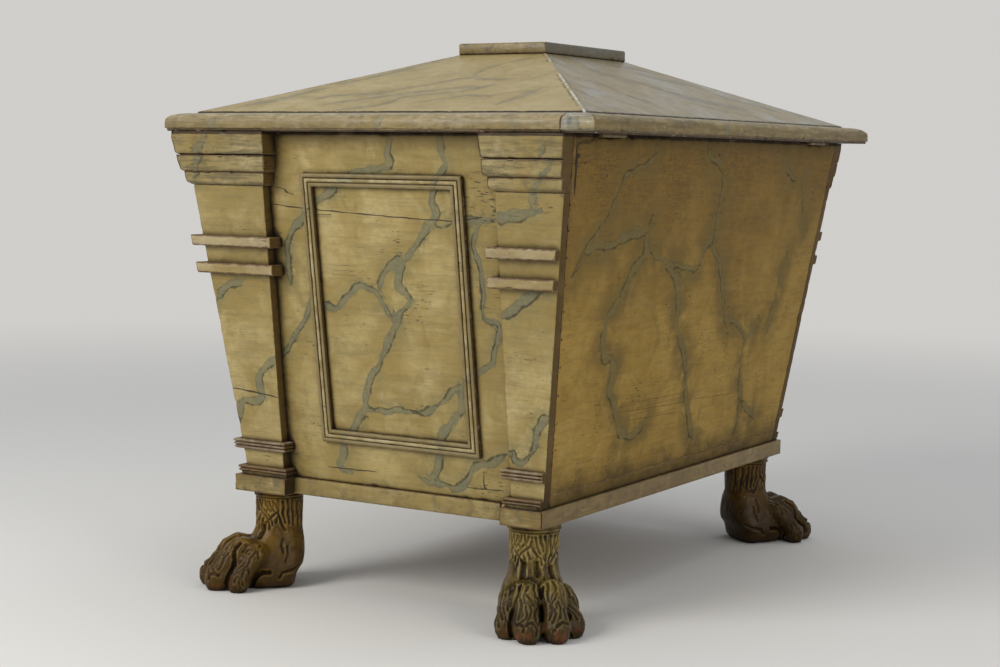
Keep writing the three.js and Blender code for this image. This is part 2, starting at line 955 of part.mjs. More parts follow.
// A board of the outline, given in its own plane, with slots cut where the others cross it
function dividerBoard(outline, slots, fromTop) {
  const shape = new THREE.Shape(outline.map(([along, z]) => new THREE.Vector2(along, z)));
  const plate = new THREE.ExtrudeGeometry(shape, { depth: dividerThickness, bevelEnabled: false });
  const low = fromTop ? halving - seat / 2 : linerFloor - overrun;
  const high = fromTop ? dividerTop + overrun : halving + seat / 2;
  const cutters = slots.map((along) =>
    block(along - slotHalf, along + slotHalf, low, high, -overrun, dividerThickness + overrun),
  );
  return cut(plate, ...cutters);
}

longPlaces.forEach((y, i) => {
  const outline = [
    [cellX(0, linerFloor), linerFloor],
    [cellX(cellsLong, linerFloor), linerFloor],
    [cellX(cellsLong, dividerTop), dividerTop],
    [cellX(0, dividerTop), dividerTop],
  ];
  const board = dividerBoard(outline, crossPlaces, true);
  board.rotateX(Math.PI / 2).translate(0, y + dividerThickness / 2, 0);
  addPiece(`long_divider_${i + 1}`, board, pineColour, 0.8);
});
crossPlaces.forEach((x, i) => {
  const outline = [
    [cellY(0, linerFloor), linerFloor],
    [cellY(cellsDeep, linerFloor), linerFloor],
    [cellY(cellsDeep, dividerTop), dividerTop],
    [cellY(0, dividerTop), dividerTop],
  ];
  const board = dividerBoard(outline, longPlaces, false);
  board.rotateX(Math.PI / 2).rotateZ(Math.PI / 2).translate(x - dividerThickness / 2, 0, 0);
  addPiece(`cross_divider_${i + 1}`, board, pineColour, 0.8);
});

// A lion's paw, toes along +X, with the middle of the leg over the origin
function toe(stationShares, side) {
  const spine = stationShares.map(
    ([ahead, aside, height]) =>
      new THREE.Vector3(ahead * pawReach, side * aside * pawHalfWidth, height * knuckleTop),
  );
  const across = new THREE.Vector3();
  const rings = stationShares.map(([, , , girth], i) => {
    const along = spine[Math.min(i + 1, spine.length - 1)].clone().sub(spine[Math.max(i - 1, 0)]);
    across.set(-along.y, along.x, 0);
    if (along.x <= 0) across.set(0, 1, 0);
    across.normalize();
    const upwards = along.normalize().cross(across);
    return Array.from({ length: toeSides }, (_, k) => {
      const angle = ((k + 1 / 2) / toeSides) * 2 * Math.PI;
      return spine[i]
        .clone()
        .addScaledVector(across, girth * toeRadius * Math.cos(angle))
        .addScaledVector(upwards, girth * toeRadius * Math.sin(angle));
    });
  });
  return loft(rings);
}

function legAndPad() {
  const bulge = (wave, roundness) => Math.sign(wave) * Math.abs(wave) ** roundness;
  const oval = (z, back, half, front, roundness) =>
    Array.from({ length: legSides }, (_, k) => {
      const angle = (k / legSides) * 2 * Math.PI;
      const ahead = bulge(Math.cos(angle), roundness);
      const aside = bulge(Math.sin(angle), roundness);
      return new THREE.Vector3(ahead * (ahead > 0 ? front : back), aside * half, z);
    });
  const pad = padStationShares.map(([height, back, half, front]) =>
    oval(
      height * railFoot,
      back * pawBack,
      half * pawHalfWidth,
      front * pawReach,
      padRoundShare,
    ),
  );
  const round = (z, radius) => oval(z, radius, radius, radius, 1);
  const collarFoot = railFoot - collarHeight;
  const ringRise = collarHeight / 4;
  return loft([
    ...pad,
    round(ankleShare * railFoot, legRadius),
    round(collarFoot, legRadius),
    round(collarFoot + ringRise, collarRadius),
    round(collarFoot + 2 * ringRise, legRadius),
    round(collarFoot + 3 * ringRise, collarRadius),
    round(railFoot, collarRadius),
  ]);
}

function paw() {
  const toes = [1, -1].flatMap((side) => [
    toe(middleToeShares, side),
    toe(outerToeShares, side),
  ]);
  const reach = pawReach + overrun;
  return cut(join(legAndPad(), ...toes), block(-reach, reach, -reach, reach, -reach, 0));
}

const pawGeometry = paw();
for (const corner of corners) {
  const front = corner.name.startsWith("front");
  const y = front ? -(plinthFront - pawInsetDeep) : railBack - pawInsetDeep;
  const foot = addPiece(`${corner.name}_paw_foot`, pawGeometry.clone(), bronzed, 0.45);
  foot.position.set(corner.side * (plinthEnd - pawInsetLong), y, 0);
  const turn = front ? -pawTurn : pawTurn;
  foot.rotation.z = corner.side > 0 ? turn : Math.PI - turn;
}

export default object;
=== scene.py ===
import bmesh
import bpy
import json
import math
import numpy as np
from mathutils import Matrix, Vector, noise
from mathutils.bvhtree import BVHTree
from mathutils.kdtree import KDTree

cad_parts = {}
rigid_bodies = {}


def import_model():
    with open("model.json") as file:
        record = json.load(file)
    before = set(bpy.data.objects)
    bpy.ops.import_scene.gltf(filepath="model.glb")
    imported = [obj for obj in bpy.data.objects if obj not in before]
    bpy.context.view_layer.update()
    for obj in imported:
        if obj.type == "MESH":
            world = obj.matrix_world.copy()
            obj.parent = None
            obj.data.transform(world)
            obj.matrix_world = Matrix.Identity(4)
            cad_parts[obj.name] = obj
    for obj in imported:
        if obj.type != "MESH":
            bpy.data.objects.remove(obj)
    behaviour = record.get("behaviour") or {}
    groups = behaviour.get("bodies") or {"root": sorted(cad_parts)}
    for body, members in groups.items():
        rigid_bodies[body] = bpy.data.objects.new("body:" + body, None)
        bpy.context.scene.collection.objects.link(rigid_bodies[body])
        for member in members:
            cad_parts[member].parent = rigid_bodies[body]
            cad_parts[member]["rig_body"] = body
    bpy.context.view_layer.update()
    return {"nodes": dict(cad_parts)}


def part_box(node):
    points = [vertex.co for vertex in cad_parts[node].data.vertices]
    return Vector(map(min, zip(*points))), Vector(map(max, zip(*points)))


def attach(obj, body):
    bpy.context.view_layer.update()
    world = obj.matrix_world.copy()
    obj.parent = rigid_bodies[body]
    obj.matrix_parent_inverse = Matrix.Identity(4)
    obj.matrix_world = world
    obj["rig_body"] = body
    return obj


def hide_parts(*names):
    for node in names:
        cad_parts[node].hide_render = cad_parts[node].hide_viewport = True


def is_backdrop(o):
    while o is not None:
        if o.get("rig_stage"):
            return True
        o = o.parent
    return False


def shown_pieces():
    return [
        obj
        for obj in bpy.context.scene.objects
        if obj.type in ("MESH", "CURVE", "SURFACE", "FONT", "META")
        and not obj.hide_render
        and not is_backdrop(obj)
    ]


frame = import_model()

mm = 0.001                           # metres in a millimetre
mergeReach = 0.002 * mm
sameHeight = 0.05 * mm
sharpEdge = 28                       # degrees: what is sharper gets a bevel, and wears
smoothUpTo = 38                      # degrees between two faces that are shaded as one
farAway = 60.0                       # millimetres: a vein or an edge further off than this doesn't count


# Camera, solved from the straight edges in the photograph

shot = {
    "place": (1.91251, 1.11983, 0.48552),
    "azimuth": 121.58,
    "pitch": -5.37,
    "roll": 0.80,
    "focalPixels": 1849.59,
    "pictureWidth": 1000,
    "pictureHeight": 667,
    "sensorWidth": 36,
}


def cameraAxes():
    turn = math.radians(shot["azimuth"])
    tilt = math.radians(shot["pitch"])
    lean = math.radians(shot["roll"])
    ahead = Vector((-math.sin(turn) * math.cos(tilt), math.cos(turn) * math.cos(tilt), math.sin(tilt)))
    level = Vector((math.cos(turn), math.sin(turn), 0))
    upright = level.cross(ahead)
    right = math.cos(lean) * level + math.sin(lean) * upright
    up = -math.sin(lean) * level + math.cos(lean) * upright
    return right, up, ahead


def aimThrough(pixel):
    # from the camera through a point of the photograph's 1000 by 667 frame
    right, up, ahead = cameraAxes()
    sideways = (pixel[0] - shot["pictureWidth"] / 2) / shot["focalPixels"]
    upwards = (shot["pictureHeight"] / 2 - pixel[1]) / shot["focalPixels"]
    return ahead + right * sideways + up * upwards


def placed(name, data):
    made = bpy.data.objects.new(name, data)
    bpy.context.scene.collection.objects.link(made)
    return made


def addCamera():
    right, up, ahead = cameraAxes()
    lens = bpy.data.cameras.new("photo_camera")
    lens.sensor_width = shot["sensorWidth"]
    lens.lens = shot["focalPixels"] / shot["pictureWidth"] * shot["sensorWidth"]
    camera = placed("photo_camera", lens)
    turned = Matrix((right, up, -ahead)).transposed().to_4x4()
    camera.matrix_world = Matrix.Translation(shot["place"]) @ turned
    bpy.context.scene.camera = camera


addCamera()
print("camera is in place")


# Node work

def maths(operation, swapped=False):
    # an operator for Wire, or its reflected form
    def work(wire, other=None):
        values = (other, wire) if swapped else (wire, other)
        return wire.graph.node("ShaderNodeMath", {"operation": operation}, values)

    return work


class Wire:                          # a socket of a material, with arithmetic
    def __init__(self, graph, socket):
        self.graph = graph
        self.socket = socket

    __add__, __radd__ = maths("ADD"), maths("ADD", swapped=True)
    __sub__, __rsub__ = maths("SUBTRACT"), maths("SUBTRACT", swapped=True)
    __mul__, __rmul__ = maths("MULTIPLY"), maths("MULTIPLY", swapped=True)
    __truediv__, __rtruediv__ = maths("DIVIDE"), maths("DIVIDE", swapped=True)
    __abs__ = maths("ABSOLUTE")
    most = maths("MAXIMUM")


def paint(colour):                   # from thousandths of red, green and blue
    return (*(part / 1000 for part in colour), 1)


class Graph:                         # the nodes of one material, or of the world
    def __init__(self, name, look=None, world=None):
        self.owner = world or bpy.data.materials.new(name)
        self.owner.use_nodes = True
        self.tree = self.owner.node_tree
        self.tree.nodes.clear()
        self.look = look
        self.ground = None           # the colour so far
        self.placeWire = None

    @property
    def place(self):
        if self.placeWire is None:
            self.placeWire = self.node("ShaderNodeTexCoord", out="Object")
        return self.placeWire

    def node(self, kind, settings=None, inputs=(), out=0):
        made = self.tree.nodes.new(kind)
        for key, value in (settings or {}).items():
            setattr(made, key, value)
        pairs = inputs.items() if isinstance(inputs, dict) else enumerate(inputs)
        for key, value in pairs:
            if isinstance(value, Wire):
                self.tree.links.new(value.socket, made.inputs[key])
            elif value is not None:
                made.inputs[key].default_value = value
        return Wire(self, made.outputs[out])

    def axis(self, name, source=None):
        return self.node("ShaderNodeSeparateXYZ", {}, (source or self.place,), out=name)

    def colourMix(self, factor, first, second):
        return self.node("ShaderNodeMix", {"data_type": "RGBA"}, {0: factor, 6: first, 7: second}, out=2)

    def coat(self, mask, key):
        # a layer of one of the look's colours over the ground, where the mask shows
        self.ground = self.colourMix(mask, self.ground, paint(self.look[key]))

    def stretched(self, stretch, shift):
        scaled = self.node("ShaderNodeVectorMath", {"operation": "MULTIPLY"}, (self.place, stretch))
        return self.node("ShaderNodeVectorMath", {"operation": "ADD"}, (scaled, (shift, shift, shift)))

    def cloud(self, size, detail=3.0, rough=0.5, stretch=(1, 1, 1), shift=0.0, warp=0.0):
        inputs = {"Vector": self.stretched(stretch, shift), "Scale": 1 / (size * mm),
                  "Detail": detail, "Roughness": rough, "Distortion": warp}
        return self.node("ShaderNodeTexNoise", {}, inputs)

    def step(self, value, low, high):
        inputs = {"Value": value, "From Min": low, "From Max": high}
        return self.node("ShaderNodeMapRange", {"interpolation_type": "SMOOTHSTEP"}, inputs)

    def patches(self, low, high, *cloud, **more):
        return self.step(self.cloud(*cloud, **more), low, high)

    def dots(self, spacing, radius, share, shift=0.0):
        inputs = {"Vector": self.stretched((1, 1, 1), shift), "Scale": 1 / (spacing * mm)}
        reach = self.node("ShaderNodeTexVoronoi", {}, inputs, out="Distance")
        tint = self.node("ShaderNodeTexVoronoi", {}, inputs, out="Color")
        pick = self.node("ShaderNodeSeparateColor", {}, (tint,))
        size = radius / spacing
        return self.step(reach, size, size * 0.55) * self.step(pick, share, share - 0.04)

    def carried(self, name, out="Fac"):
        return self.node("ShaderNodeAttribute", {"attribute_name": name}, out=out)

    def course(self, name):
        # carried: how far off the nearest course is, how far to its side, and half its width. Between the
        # vertices only the second is exact, so it counts wherever the first says that the course is close.
        carried = self.carried(name, "Vector")
        away, aside, half = (self.axis(letter, carried) for letter in "XYZ")
        return abs(aside).most(away - 3.5) - half, aside

    def shade(self, reach):
        return 1 - self.node("ShaderNodeAmbientOcclusion", {"samples": 8}, {"Distance": reach * mm}, out="AO")

    def bump(self, height, strength, depth):
        inputs = {"Strength": strength, "Distance": depth * mm, "Height": height}
        return self.node("ShaderNodeBump", {}, inputs)

    def finish(self, dull, normal, shine=0.5, metal=None):
        return self.shown(self.node("ShaderNodeBsdfPrincipled", {}, {
            "Base Color": self.ground, "Roughness": dull, "Metallic": metal, "Normal": normal,
            "Specular IOR Level": shine}))

    def shown(self, surface, output="ShaderNodeOutputMaterial"):
        end = self.tree.nodes.new(output)
        self.tree.links.new(surface.socket, end.inputs["Surface"])
        return self.owner


# Painted marble

# the colours are in thousandths, the other values say how strong, rough or large a layer is
looks = {"marble": {
    "straw": (425, 338, 142), "ochre": (262, 187, 55), "olive": (215, 178, 70), "pale": (465, 380, 185),
    "vein": (172, 165, 92), "veinDeep": (66, 62, 33), "veinRim": (42, 34, 16), "grimeAndShade": (22, 14, 6),
    "stainAndShade": (175, 118, 34), "washTint": (262, 186, 54), "topTint": (200, 158, 64),
    "blotchTint": (95, 78, 40), "wornBrown": (95, 42, 22), "wornPaleAndHighlight": (500, 440, 330), "patches": 0.7,
    "veinStrength": 0.92, "veinEdge": 0.8, "veinRag": 1.0, "rim": 0.95, "wash": 1.0, "edgeWear": 1.0,
    "crease": 0.0, "grain": 1.0, "topDark": 0.0, "lowPale": 0.0, "crownHighlight": 0.0, "seam": 0.0,
    "lowDark": 0.0, "sideOchre": 0.0, "dirtAndShade": 1.0, "blotch": 0.0, "streak": 0.26, "outline": 0.0,
    "cloudScale": 1.0, "hip": 0.0, "dashes": 0.8, "relief": 0.45, "roughness": 0.44, "shine": 0.3,
    "underLid": 0.6,
}}

looks["end"] = dict(looks["marble"], sideOchre=0.75, dirtAndShade=1.25)

looks["pilaster"] = dict(
    looks["marble"], topDark=0.45, lowPale=0.55, patches=0.8, grain=1.2, blotch=0.12, dirtAndShade=0.8,
)

looks["back"] = dict(
    looks["marble"], straw=(355, 232, 58), ochre=(252, 156, 32), olive=(158, 110, 28), pale=(375, 262, 80),
    vein=(158, 130, 50), veinDeep=(72, 56, 20), veinRim=(26, 18, 8), stainAndShade=(120, 78, 22),
    washTint=(150, 100, 28), topTint=(94, 49, 13), blotchTint=(85, 62, 28), wornPaleAndHighlight=(300, 240, 160),
    patches=0.6, veinStrength=0.75, rim=0.75, grain=1.2, topDark=0.9, lowDark=0.8, blotch=0.1,
    roughness=0.58, shine=0.1,
)

# the back paint on the back-facing sides of the other parts, much darker: painted shade
looks["backEdge"] = dict(
    looks["back"], straw=(112, 70, 22), ochre=(80, 48, 14), olive=(85, 62, 20), pale=(150, 100, 34),
    topDark=0.3, edgeWear=0.5,
)

looks["capital"] = dict(
    looks["marble"], straw=(425, 350, 172), ochre=(235, 180, 72), pale=(500, 430, 262), edgeWear=1.3,
    crease=0.9, grain=2.1, blotch=0.42, streak=0.95, outline=0.45, underLid=0.3,
)

looks["band"] = dict(
    looks["capital"], straw=(440, 365, 200), ochre=(300, 228, 110), olive=(285, 232, 120),
    pale=(500, 425, 310), edgeWear=1.2, grain=1.3, blotch=0.12, streak=0.25, outline=0.9,
)

looks["foot"] = dict(
    looks["capital"], straw=(272, 198, 62), ochre=(172, 118, 32), pale=(380, 310, 160), edgeWear=0.8,
    streak=0.5, blotch=0.8,
)

looks["footReed"] = dict(
    looks["foot"], straw=(345, 282, 150), ochre=(195, 150, 72), wornPaleAndHighlight=(550, 490, 350),
    blotchTint=(70, 60, 40), edgeWear=0.0, crease=1.0, blotch=0.5,
)

looks["rail"] = dict(looks["marble"], straw=(305, 235, 90), ochre=(205, 145, 46), grain=1.5, blotch=0.5)

looks["backRail"] = dict(
    looks["marble"], straw=(222, 158, 50), ochre=(150, 98, 36), olive=(135, 98, 42), pale=(330, 240, 115),
    blotchTint=(85, 60, 34), grain=1.5, blotch=0.6,
)

looks["reed"] = dict(
    looks["marble"], straw=(380, 300, 138), ochre=(215, 155, 55), wornPaleAndHighlight=(500, 430, 270), edgeWear=0.0,
    crease=1.5, blotch=0.15, dirtAndShade=0.7, reeds=0.75, reedTint=(165, 122, 50),
)

looks["lid"] = dict(
    looks["marble"], straw=(370, 296, 138), ochre=(270, 205, 80), olive=(200, 172, 85),
    pale=(405, 335, 172), vein=(140, 128, 78), veinDeep=(105, 94, 52), veinRim=(85, 80, 58), patches=0.4,
    veinStrength=0.62, veinEdge=3.5, veinRag=2.0, rim=0.5, wash=0.5, seam=1.0, hip=0.75, streak=0.0,
    wornPaleAndHighlight=(620, 590, 520), dashes=0.3, roughness=0.4, shine=0.26, underLid=0.0,
)

# the lid paint on the back slope, made greyer and bluer as a painted sheen
looks["lidBack"] = dict(
    looks["lid"], straw=(205, 180, 110), ochre=(195, 150, 68), olive=(95, 96, 76), pale=(275, 290, 270),
    cloudScale=2.4, veinStrength=0.55, vein=(70, 66, 50), veinDeep=(62, 58, 44), patches=1.0, grain=0.25,
    dashes=0.1, relief=0.05, roughness=0.3, shine=0.22,
)

looks["lidEdge"] = dict(
    looks["lid"], straw=(285, 220, 96), ochre=(172, 125, 46), pale=(440, 375, 235), vein=(190, 185, 125),
    veinEdge=1.5, veinRag=1.0, edgeWear=1.3, crease=0.5, grain=1.8, crownHighlight=0.75, blotch=0.4,
    streak=0.45, dashes=0.8, relief=0.35, shine=0.35, seam=0.0, hip=0.0,
)

looks["lidEdgeBack"] = dict(
    looks["lidEdge"], straw=(235, 178, 70), ochre=(140, 98, 34), pale=(370, 302, 160),
    blotchTint=(60, 52, 30), crownHighlight=0.6, shine=0.18,
)

looks["lidCorner"] = dict(
    looks["lidEdge"], straw=(285, 245, 150), ochre=(185, 150, 75), olive=(105, 112, 105),
    pale=(420, 420, 390), blotchTint=(50, 60, 66), wornPaleAndHighlight=(660, 640, 600), edgeWear=1.8, blotch=0.95,
)

looks["cap"] = dict(looks["lidEdge"], blotchTint=(80, 66, 32), edgeWear=1.5, blotch=0.9, crownHighlight=0.2)

# the cap paint on its back-facing sides, darker and blue-grey: painted shade and sheen
looks["capBack"] = dict(
    looks["lidEdge"], straw=(120, 116, 96), ochre=(95, 85, 58), olive=(70, 72, 62), pale=(165, 165, 150),
    blotch=0.5, crownHighlight=0.0, edgeWear=0.4,
)

zones = {                            # metres: where a change of colour starts and where it is full
    "topDark": (0.27, 0.50),
    "lowPale": (0.38, 0.22),
    "strip": (0.100, 0.125),         # across: the board beside the panel frame
    "crazedFrom": (0.405, 0.425),
    "crazedTo": (0.485, 0.465),
    "bitsFrom": (0.412, 0.424),
    "bitsTo": (0.478, 0.462),
    "underLid": (0.488, 0.509),
    "lowDark": (0.176, 0.124),
    "gap": 0.5113,
}
levelStroke = (0.10, 0.10, 1)        # brush strokes and grain lie level

slopePlaces = [v.co for v in frame["nodes"]["lid_slopes"].data.vertices]
slopeTop = max(p.z for p in slopePlaces)
hipHead = max((p for p in slopePlaces if slopeTop - p.z < 0.1 * mm), key=lambda p: p.x + p.y)
hipFoot = max(slopePlaces, key=lambda p: p.x + p.y)
hipSide = Vector((hipHead.y - hipFoot.y, hipFoot.x - hipHead.x)).normalized()


def marblePaint(name, look):
    g = Graph(name, look)
    scale = look["cloudScale"]
    broad = g.cloud(110 * scale, 4, 0.6, shift=3.1, warp=0.6)
    middle = g.cloud(24, 5, 0.62, shift=8.4, warp=0.8)
    fine = g.cloud(5.5, 4, 0.65, shift=1.7)
    stroke = g.cloud(2.0, 4, 0.65, levelStroke, 5.5)
    height = g.axis("Z")
    g.ground = paint(look["straw"])
    g.coat(g.step(broad, 0.44, 0.60) * look["patches"] + g.step(middle, 0.48, 0.70) * 0.4, "ochre")
    g.coat(g.patches(0.52, 0.70, 60 * scale, 5, 0.65, shift=14.2, warp=1.0) * 0.6, "olive")
    g.coat(g.patches(0.50, 0.70, 38 * scale, 4, 0.6, shift=21.0, warp=0.5) * 0.7, "pale")
    # darker towards the top: a stain, and the painted shadow of the lid
    if look["topDark"]:
        g.coat(g.step(height + (broad - 0.5) * 0.22, *zones["topDark"]) * look["topDark"], "topTint")
    # paler towards the bottom: scuffs, and painted light
    if look["lowPale"]:
        g.coat(g.step(height + (broad - 0.5) * 0.2, *zones["lowPale"]) * look["lowPale"], "pale")
    # darker and browner where other parts are near, from ambient occlusion over 42 mm: dirt and painted shade
    wide = g.shade(42)
    g.coat(g.step(wide + (middle - 0.5) * 0.5, 0.02, 0.50) * 0.85 * look["dirtAndShade"], "stainAndShade")
    # paler where the surface faces up: a painted highlight
    if look["crownHighlight"]:
        upwards = g.axis("Z", g.node("ShaderNodeTexCoord", out="Normal"))
        g.coat(g.step(upwards + (fine - 0.5) * 0.4, 0.15, 0.75) * look["crownHighlight"], "pale")
    grain = g.step(stroke, 0.30, 0.70) * 0.34 + g.step(fine, 0.3, 0.7) * 0.24
    g.coat(grain * look["grain"], "ochre")

    # veins: a milky brush stroke over an olive wash, deeper and lined with black along one side
    raw, aside = g.course("veinCourse")
    rag = (g.cloud(13, 3, 0.55, shift=2.2) - 0.5) * 4.6 + (g.cloud(3.4, 2, 0.5, shift=9.2) - 0.5) * 1.5
    reach = raw + rag * look["veinRag"] + 0.5
    side = g.step(aside + (g.cloud(55, 2, 0.5, shift=27.0) - 0.5) * 26, -1.0, 2.5)
    if look["sideOchre"]:
        # the strip beside the frame is a stronger yellow, with crazed paint in its upper half
        strip = g.step(g.axis("Y") + (middle - 0.5) * 0.03, *zones["strip"])
        g.coat(strip * g.patches(0.36, 0.56, 20, 4, 0.6, shift=33.0) * look["sideOchre"], "ochre")
    halo = g.step(raw, 34, 2) * g.patches(0.38, 0.56, 48, 4, 0.6, shift=44.0, warp=0.8)
    g.coat(halo * 0.85 * look["wash"], "washTint")
    halo = g.step(raw, 15, 0) * g.patches(0.40, 0.58, 26, 4, 0.6, shift=6.6, warp=1.2) * (0.35 + side * 0.65)
    g.coat(halo * 0.8 * look["wash"], "olive")
    deep = g.step(reach, -3.0, -0.3) * (0.15 + side * 0.85) * 0.8
    deep = deep * g.patches(0.38, 0.58, 19, 3, 0.6, shift=51.0)
    brushed = g.patches(0.36, 0.60, 3.2, 3, 0.6, shift=71.0) * 0.28
    ribbonTint = g.colourMix(deep, paint(look["vein"]), paint(look["veinDeep"]))
    ribbonTint = g.colourMix(brushed, ribbonTint, paint(look["veinDeep"]))
    solid = 0.66 + g.patches(0.3, 0.6, 15, 3, 0.6, shift=4.9) * 0.34
    ribbon = g.step(reach, look["veinEdge"], -look["veinEdge"]) * solid
    g.ground = g.colourMix(ribbon * look["veinStrength"], g.ground, ribbonTint)
    broken = g.patches(0.40, 0.54, 14, 3, 0.6, shift=7.7) * (0.30 + side * 0.70)
    thick = 1.0 + g.patches(0.42, 0.66, 8, 2, 0.5, shift=3.3) * 2.1
    g.coat(g.step(abs(reach + 0.4) / thick, 1.0, 0.1) * broken * look["rim"] * 0.9, "veinRim")

    # age: pits, dashes of crazing, cracks, dirt and painted shade in the joints and under the lid, paint
    # rubbed off the edges, and some painted highlights
    if look["blotch"]:
        g.coat(g.patches(0.50, 0.64, 15, 5, 0.68, shift=61.0, warp=0.4) * look["blotch"] * 0.85, "blotchTint")
    if look["streak"]:
        g.coat(g.patches(0.46, 0.62, 5.5, 4, 0.65, levelStroke, 83.0) * look["streak"] * 0.7, "blotchTint")
    pits = g.dots(17, 0.9, 0.34).most(g.dots(7.5, 0.5, 0.28, shift=5.0) * 0.7)
    g.coat(pits * 0.75, "veinRim")
    dashes = g.patches(0.60, 0.70, 1.6, 2, 0.5, (0.16, 0.16, 1), 31.0)
    crazed = g.patches(0.53, 0.66, 42, 3, 0.6, shift=11.0)
    if look["sideOchre"]:
        upper = strip * g.step(height, *zones["crazedFrom"]) * g.step(height, *zones["crazedTo"])
        dashes = dashes * crazed.most(upper * 0.9)
        bits = g.patches(0.56, 0.61, 3.2, 2, 0.5, (0.3, 0.3, 1), 37.0) * strip
        dashes = dashes.most(bits * g.step(height, *zones["bitsFrom"]) * g.step(height, *zones["bitsTo"]))
    else:
        dashes = dashes * crazed
    g.coat(dashes * look["dashes"], "veinRim")
    split, _ = g.course("crackCourse")
    crack = g.step(split + (fine - 0.5) * 0.5, 0.34, -0.10)
    g.coat(crack * 0.9, "grimeAndShade")
    # browner just under the lid: a stain, and the painted shadow of the lid's overhang
    if look["underLid"]:
        g.coat(g.step(height + (middle - 0.5) * 0.03, *zones["underLid"]) * look["underLid"], "stainAndShade")
    # darker towards the bottom
    if look["lowDark"]:
        g.coat(g.step(height + (middle - 0.5) * 0.06, *zones["lowDark"]) * look["lowDark"], "grimeAndShade")
    # a dark line at the height of the gap under the lid: painted shadow in the gap
    g.coat(g.step(abs(height - zones["gap"] + (middle - 0.5) * 0.002), 3 * mm, 2 * mm) * 0.92, "grimeAndShade")
    # darker where other parts are near, from ambient occlusion over 12 and 42 mm: dirt and painted shade
    smudgeAndShade = g.step(wide + g.shade(12) * 0.6 + (middle - 0.5) * 0.7, 0.42, 1.05) * look["dirtAndShade"]
    g.coat(smudgeAndShade * 0.92, "grimeAndShade")
    if look["crease"]:
        # dark in creases, from ambient occlusion over 5 mm: dirt and painted shade
        g.coat(g.step(g.shade(5) + (fine - 0.5) * 0.6, 0.16, 0.50) * look["crease"], "grimeAndShade")
    wear = g.carried("wear")
    if look["seam"]:
        g.coat(g.step(wear + (fine - 0.5) * 1.2, 3.2, 2.0) * look["seam"], "grimeAndShade")
    if not look["edgeWear"]:
        # paler on the exposed crowns of the reeds: worn paint and a painted highlight
        ridge = g.step(g.shade(5), 0.10, 0.0) * g.patches(0.40, 0.62, 12, 3, 0.6, shift=13.0)
        g.coat(ridge * 0.5, "wornPaleAndHighlight")
    if look["hip"]:
        # the paint is rubbed to white along the hips, with a painted highlight on it, and a dark line beside
        # it
        off = (abs(g.axis("X")) - hipFoot.x) * hipSide.x + (abs(g.axis("Y")) - hipFoot.y) * hipSide.y
        off = abs(off / mm + (fine - 0.5) * 2.4)
        shown = g.patches(0.46, 0.56, 34, 5, 0.7, shift=91.0) * look["hip"]
        g.coat(g.step(abs(off - 3.2), 1.8, 0.7) * shown * 0.8, "grimeAndShade")
        g.coat(g.step(off, 2.0, 0.7) * shown, "wornPaleAndHighlight")
    if "reeds" in look:
        # only the middle one of the three reeds stays light; the outer and inner ones are darker, partly as
        # painted shade
        g.coat(g.step(abs(wear - 7.2) + (fine - 0.5) * 0.6, 2.0, 3.0) * look["reeds"], "reedTint")
    if look["outline"]:
        g.coat(g.step(wear + (fine - 0.5) * 1.6, 2.3, 1.2) * look["outline"], "wornBrown")
    if look["edgeWear"] and not look["seam"]:
        patchy = g.patches(0.36, 0.54, 32, 3, 0.6, shift=17.0) * look["edgeWear"]
        edge = wear + (g.cloud(6, 4, 0.65, shift=12.0) - 0.5) * 6.0
        g.coat(g.step(edge, 1.9, 0.2) * 0.6 * patchy, "wornBrown")
        g.coat(g.step(edge, 0.8, -0.8) * g.patches(0.45, 0.62, 10, 3, 0.6, shift=13.0) * 0.6, "wornPaleAndHighlight")
    relief = stroke * 0.5 + fine * 0.35 + middle * 0.6 - pits * 0.9 - crack * 1.4 - dashes * 0.5
    relief = relief + ribbon * 0.15
    dull = look["roughness"] + (middle - 0.5) * 0.3 + smudgeAndShade * 0.3 + (stroke - 0.5) * 0.25 * look["grain"]
    return g.finish(dull, g.bump(relief, look["relief"], 0.6), look["shine"])


# Wood, metal and bronzed carving

woodLook = {"light": (235, 140, 68), "dark": (105, 56, 26), "pore": (35, 19, 10), "grimeAndShade": (20, 12, 7)}


def bareWood(name, look, along):
    g = Graph(name, look)
    stretch = tuple(0.07 if axis == along else 1.0 for axis in range(3))
    rings = g.cloud(17, 3, 0.5, stretch, 2.0, 0.7)
    fibre = g.cloud(1.5, 3, 0.7, stretch, 4.0)
    g.ground = paint(look["light"])
    g.coat(g.step(rings, 0.30, 0.70), "dark")
    g.coat(g.patches(0.42, 0.75, 70, 3, 0.5, shift=6.0) * 0.45, "dark")
    g.coat(g.step(fibre, 0.56, 0.75) * 0.6, "pore")
    # darker where other parts are near, from ambient occlusion: grime and painted shade
    g.coat(g.step(g.shade(20), 0.2, 0.8) * 0.75, "grimeAndShade")
    return g.finish(0.62 + (fibre - 0.5) * 0.3, g.bump(fibre * 0.6 + rings, 0.3, 0.4), 0.35)


zincLook = {
    "bright": (400, 400, 390), "dull": (220, 225, 225), "bloom": (550, 555, 540), "stainAndShade": (120, 95, 65),
}


def zincSheet(name, look):
    g = Graph(name, look)
    patch = g.cloud(45, 5, 0.6, warp=0.8)
    spangle = g.cloud(9, 3, 0.6, shift=3.0)
    g.ground = paint(look["bright"])
    g.coat(g.step(patch, 0.35, 0.7), "dull")
    g.coat(g.step(spangle, 0.55, 0.8) * 0.5, "bloom")
    # browner where other parts are near, from ambient occlusion: a stain and painted shade
    smudgeAndShade = g.step(g.shade(30), 0.25, 0.85)
    g.coat(smudgeAndShade * 0.7, "stainAndShade")
    dull = 0.42 + (patch - 0.5) * 0.35 + smudgeAndShade * 0.25
    return g.finish(dull, g.bump(patch * 0.8 + spangle * 0.2, 0.25, 0.8), metal=1 - smudgeAndShade * 0.5)


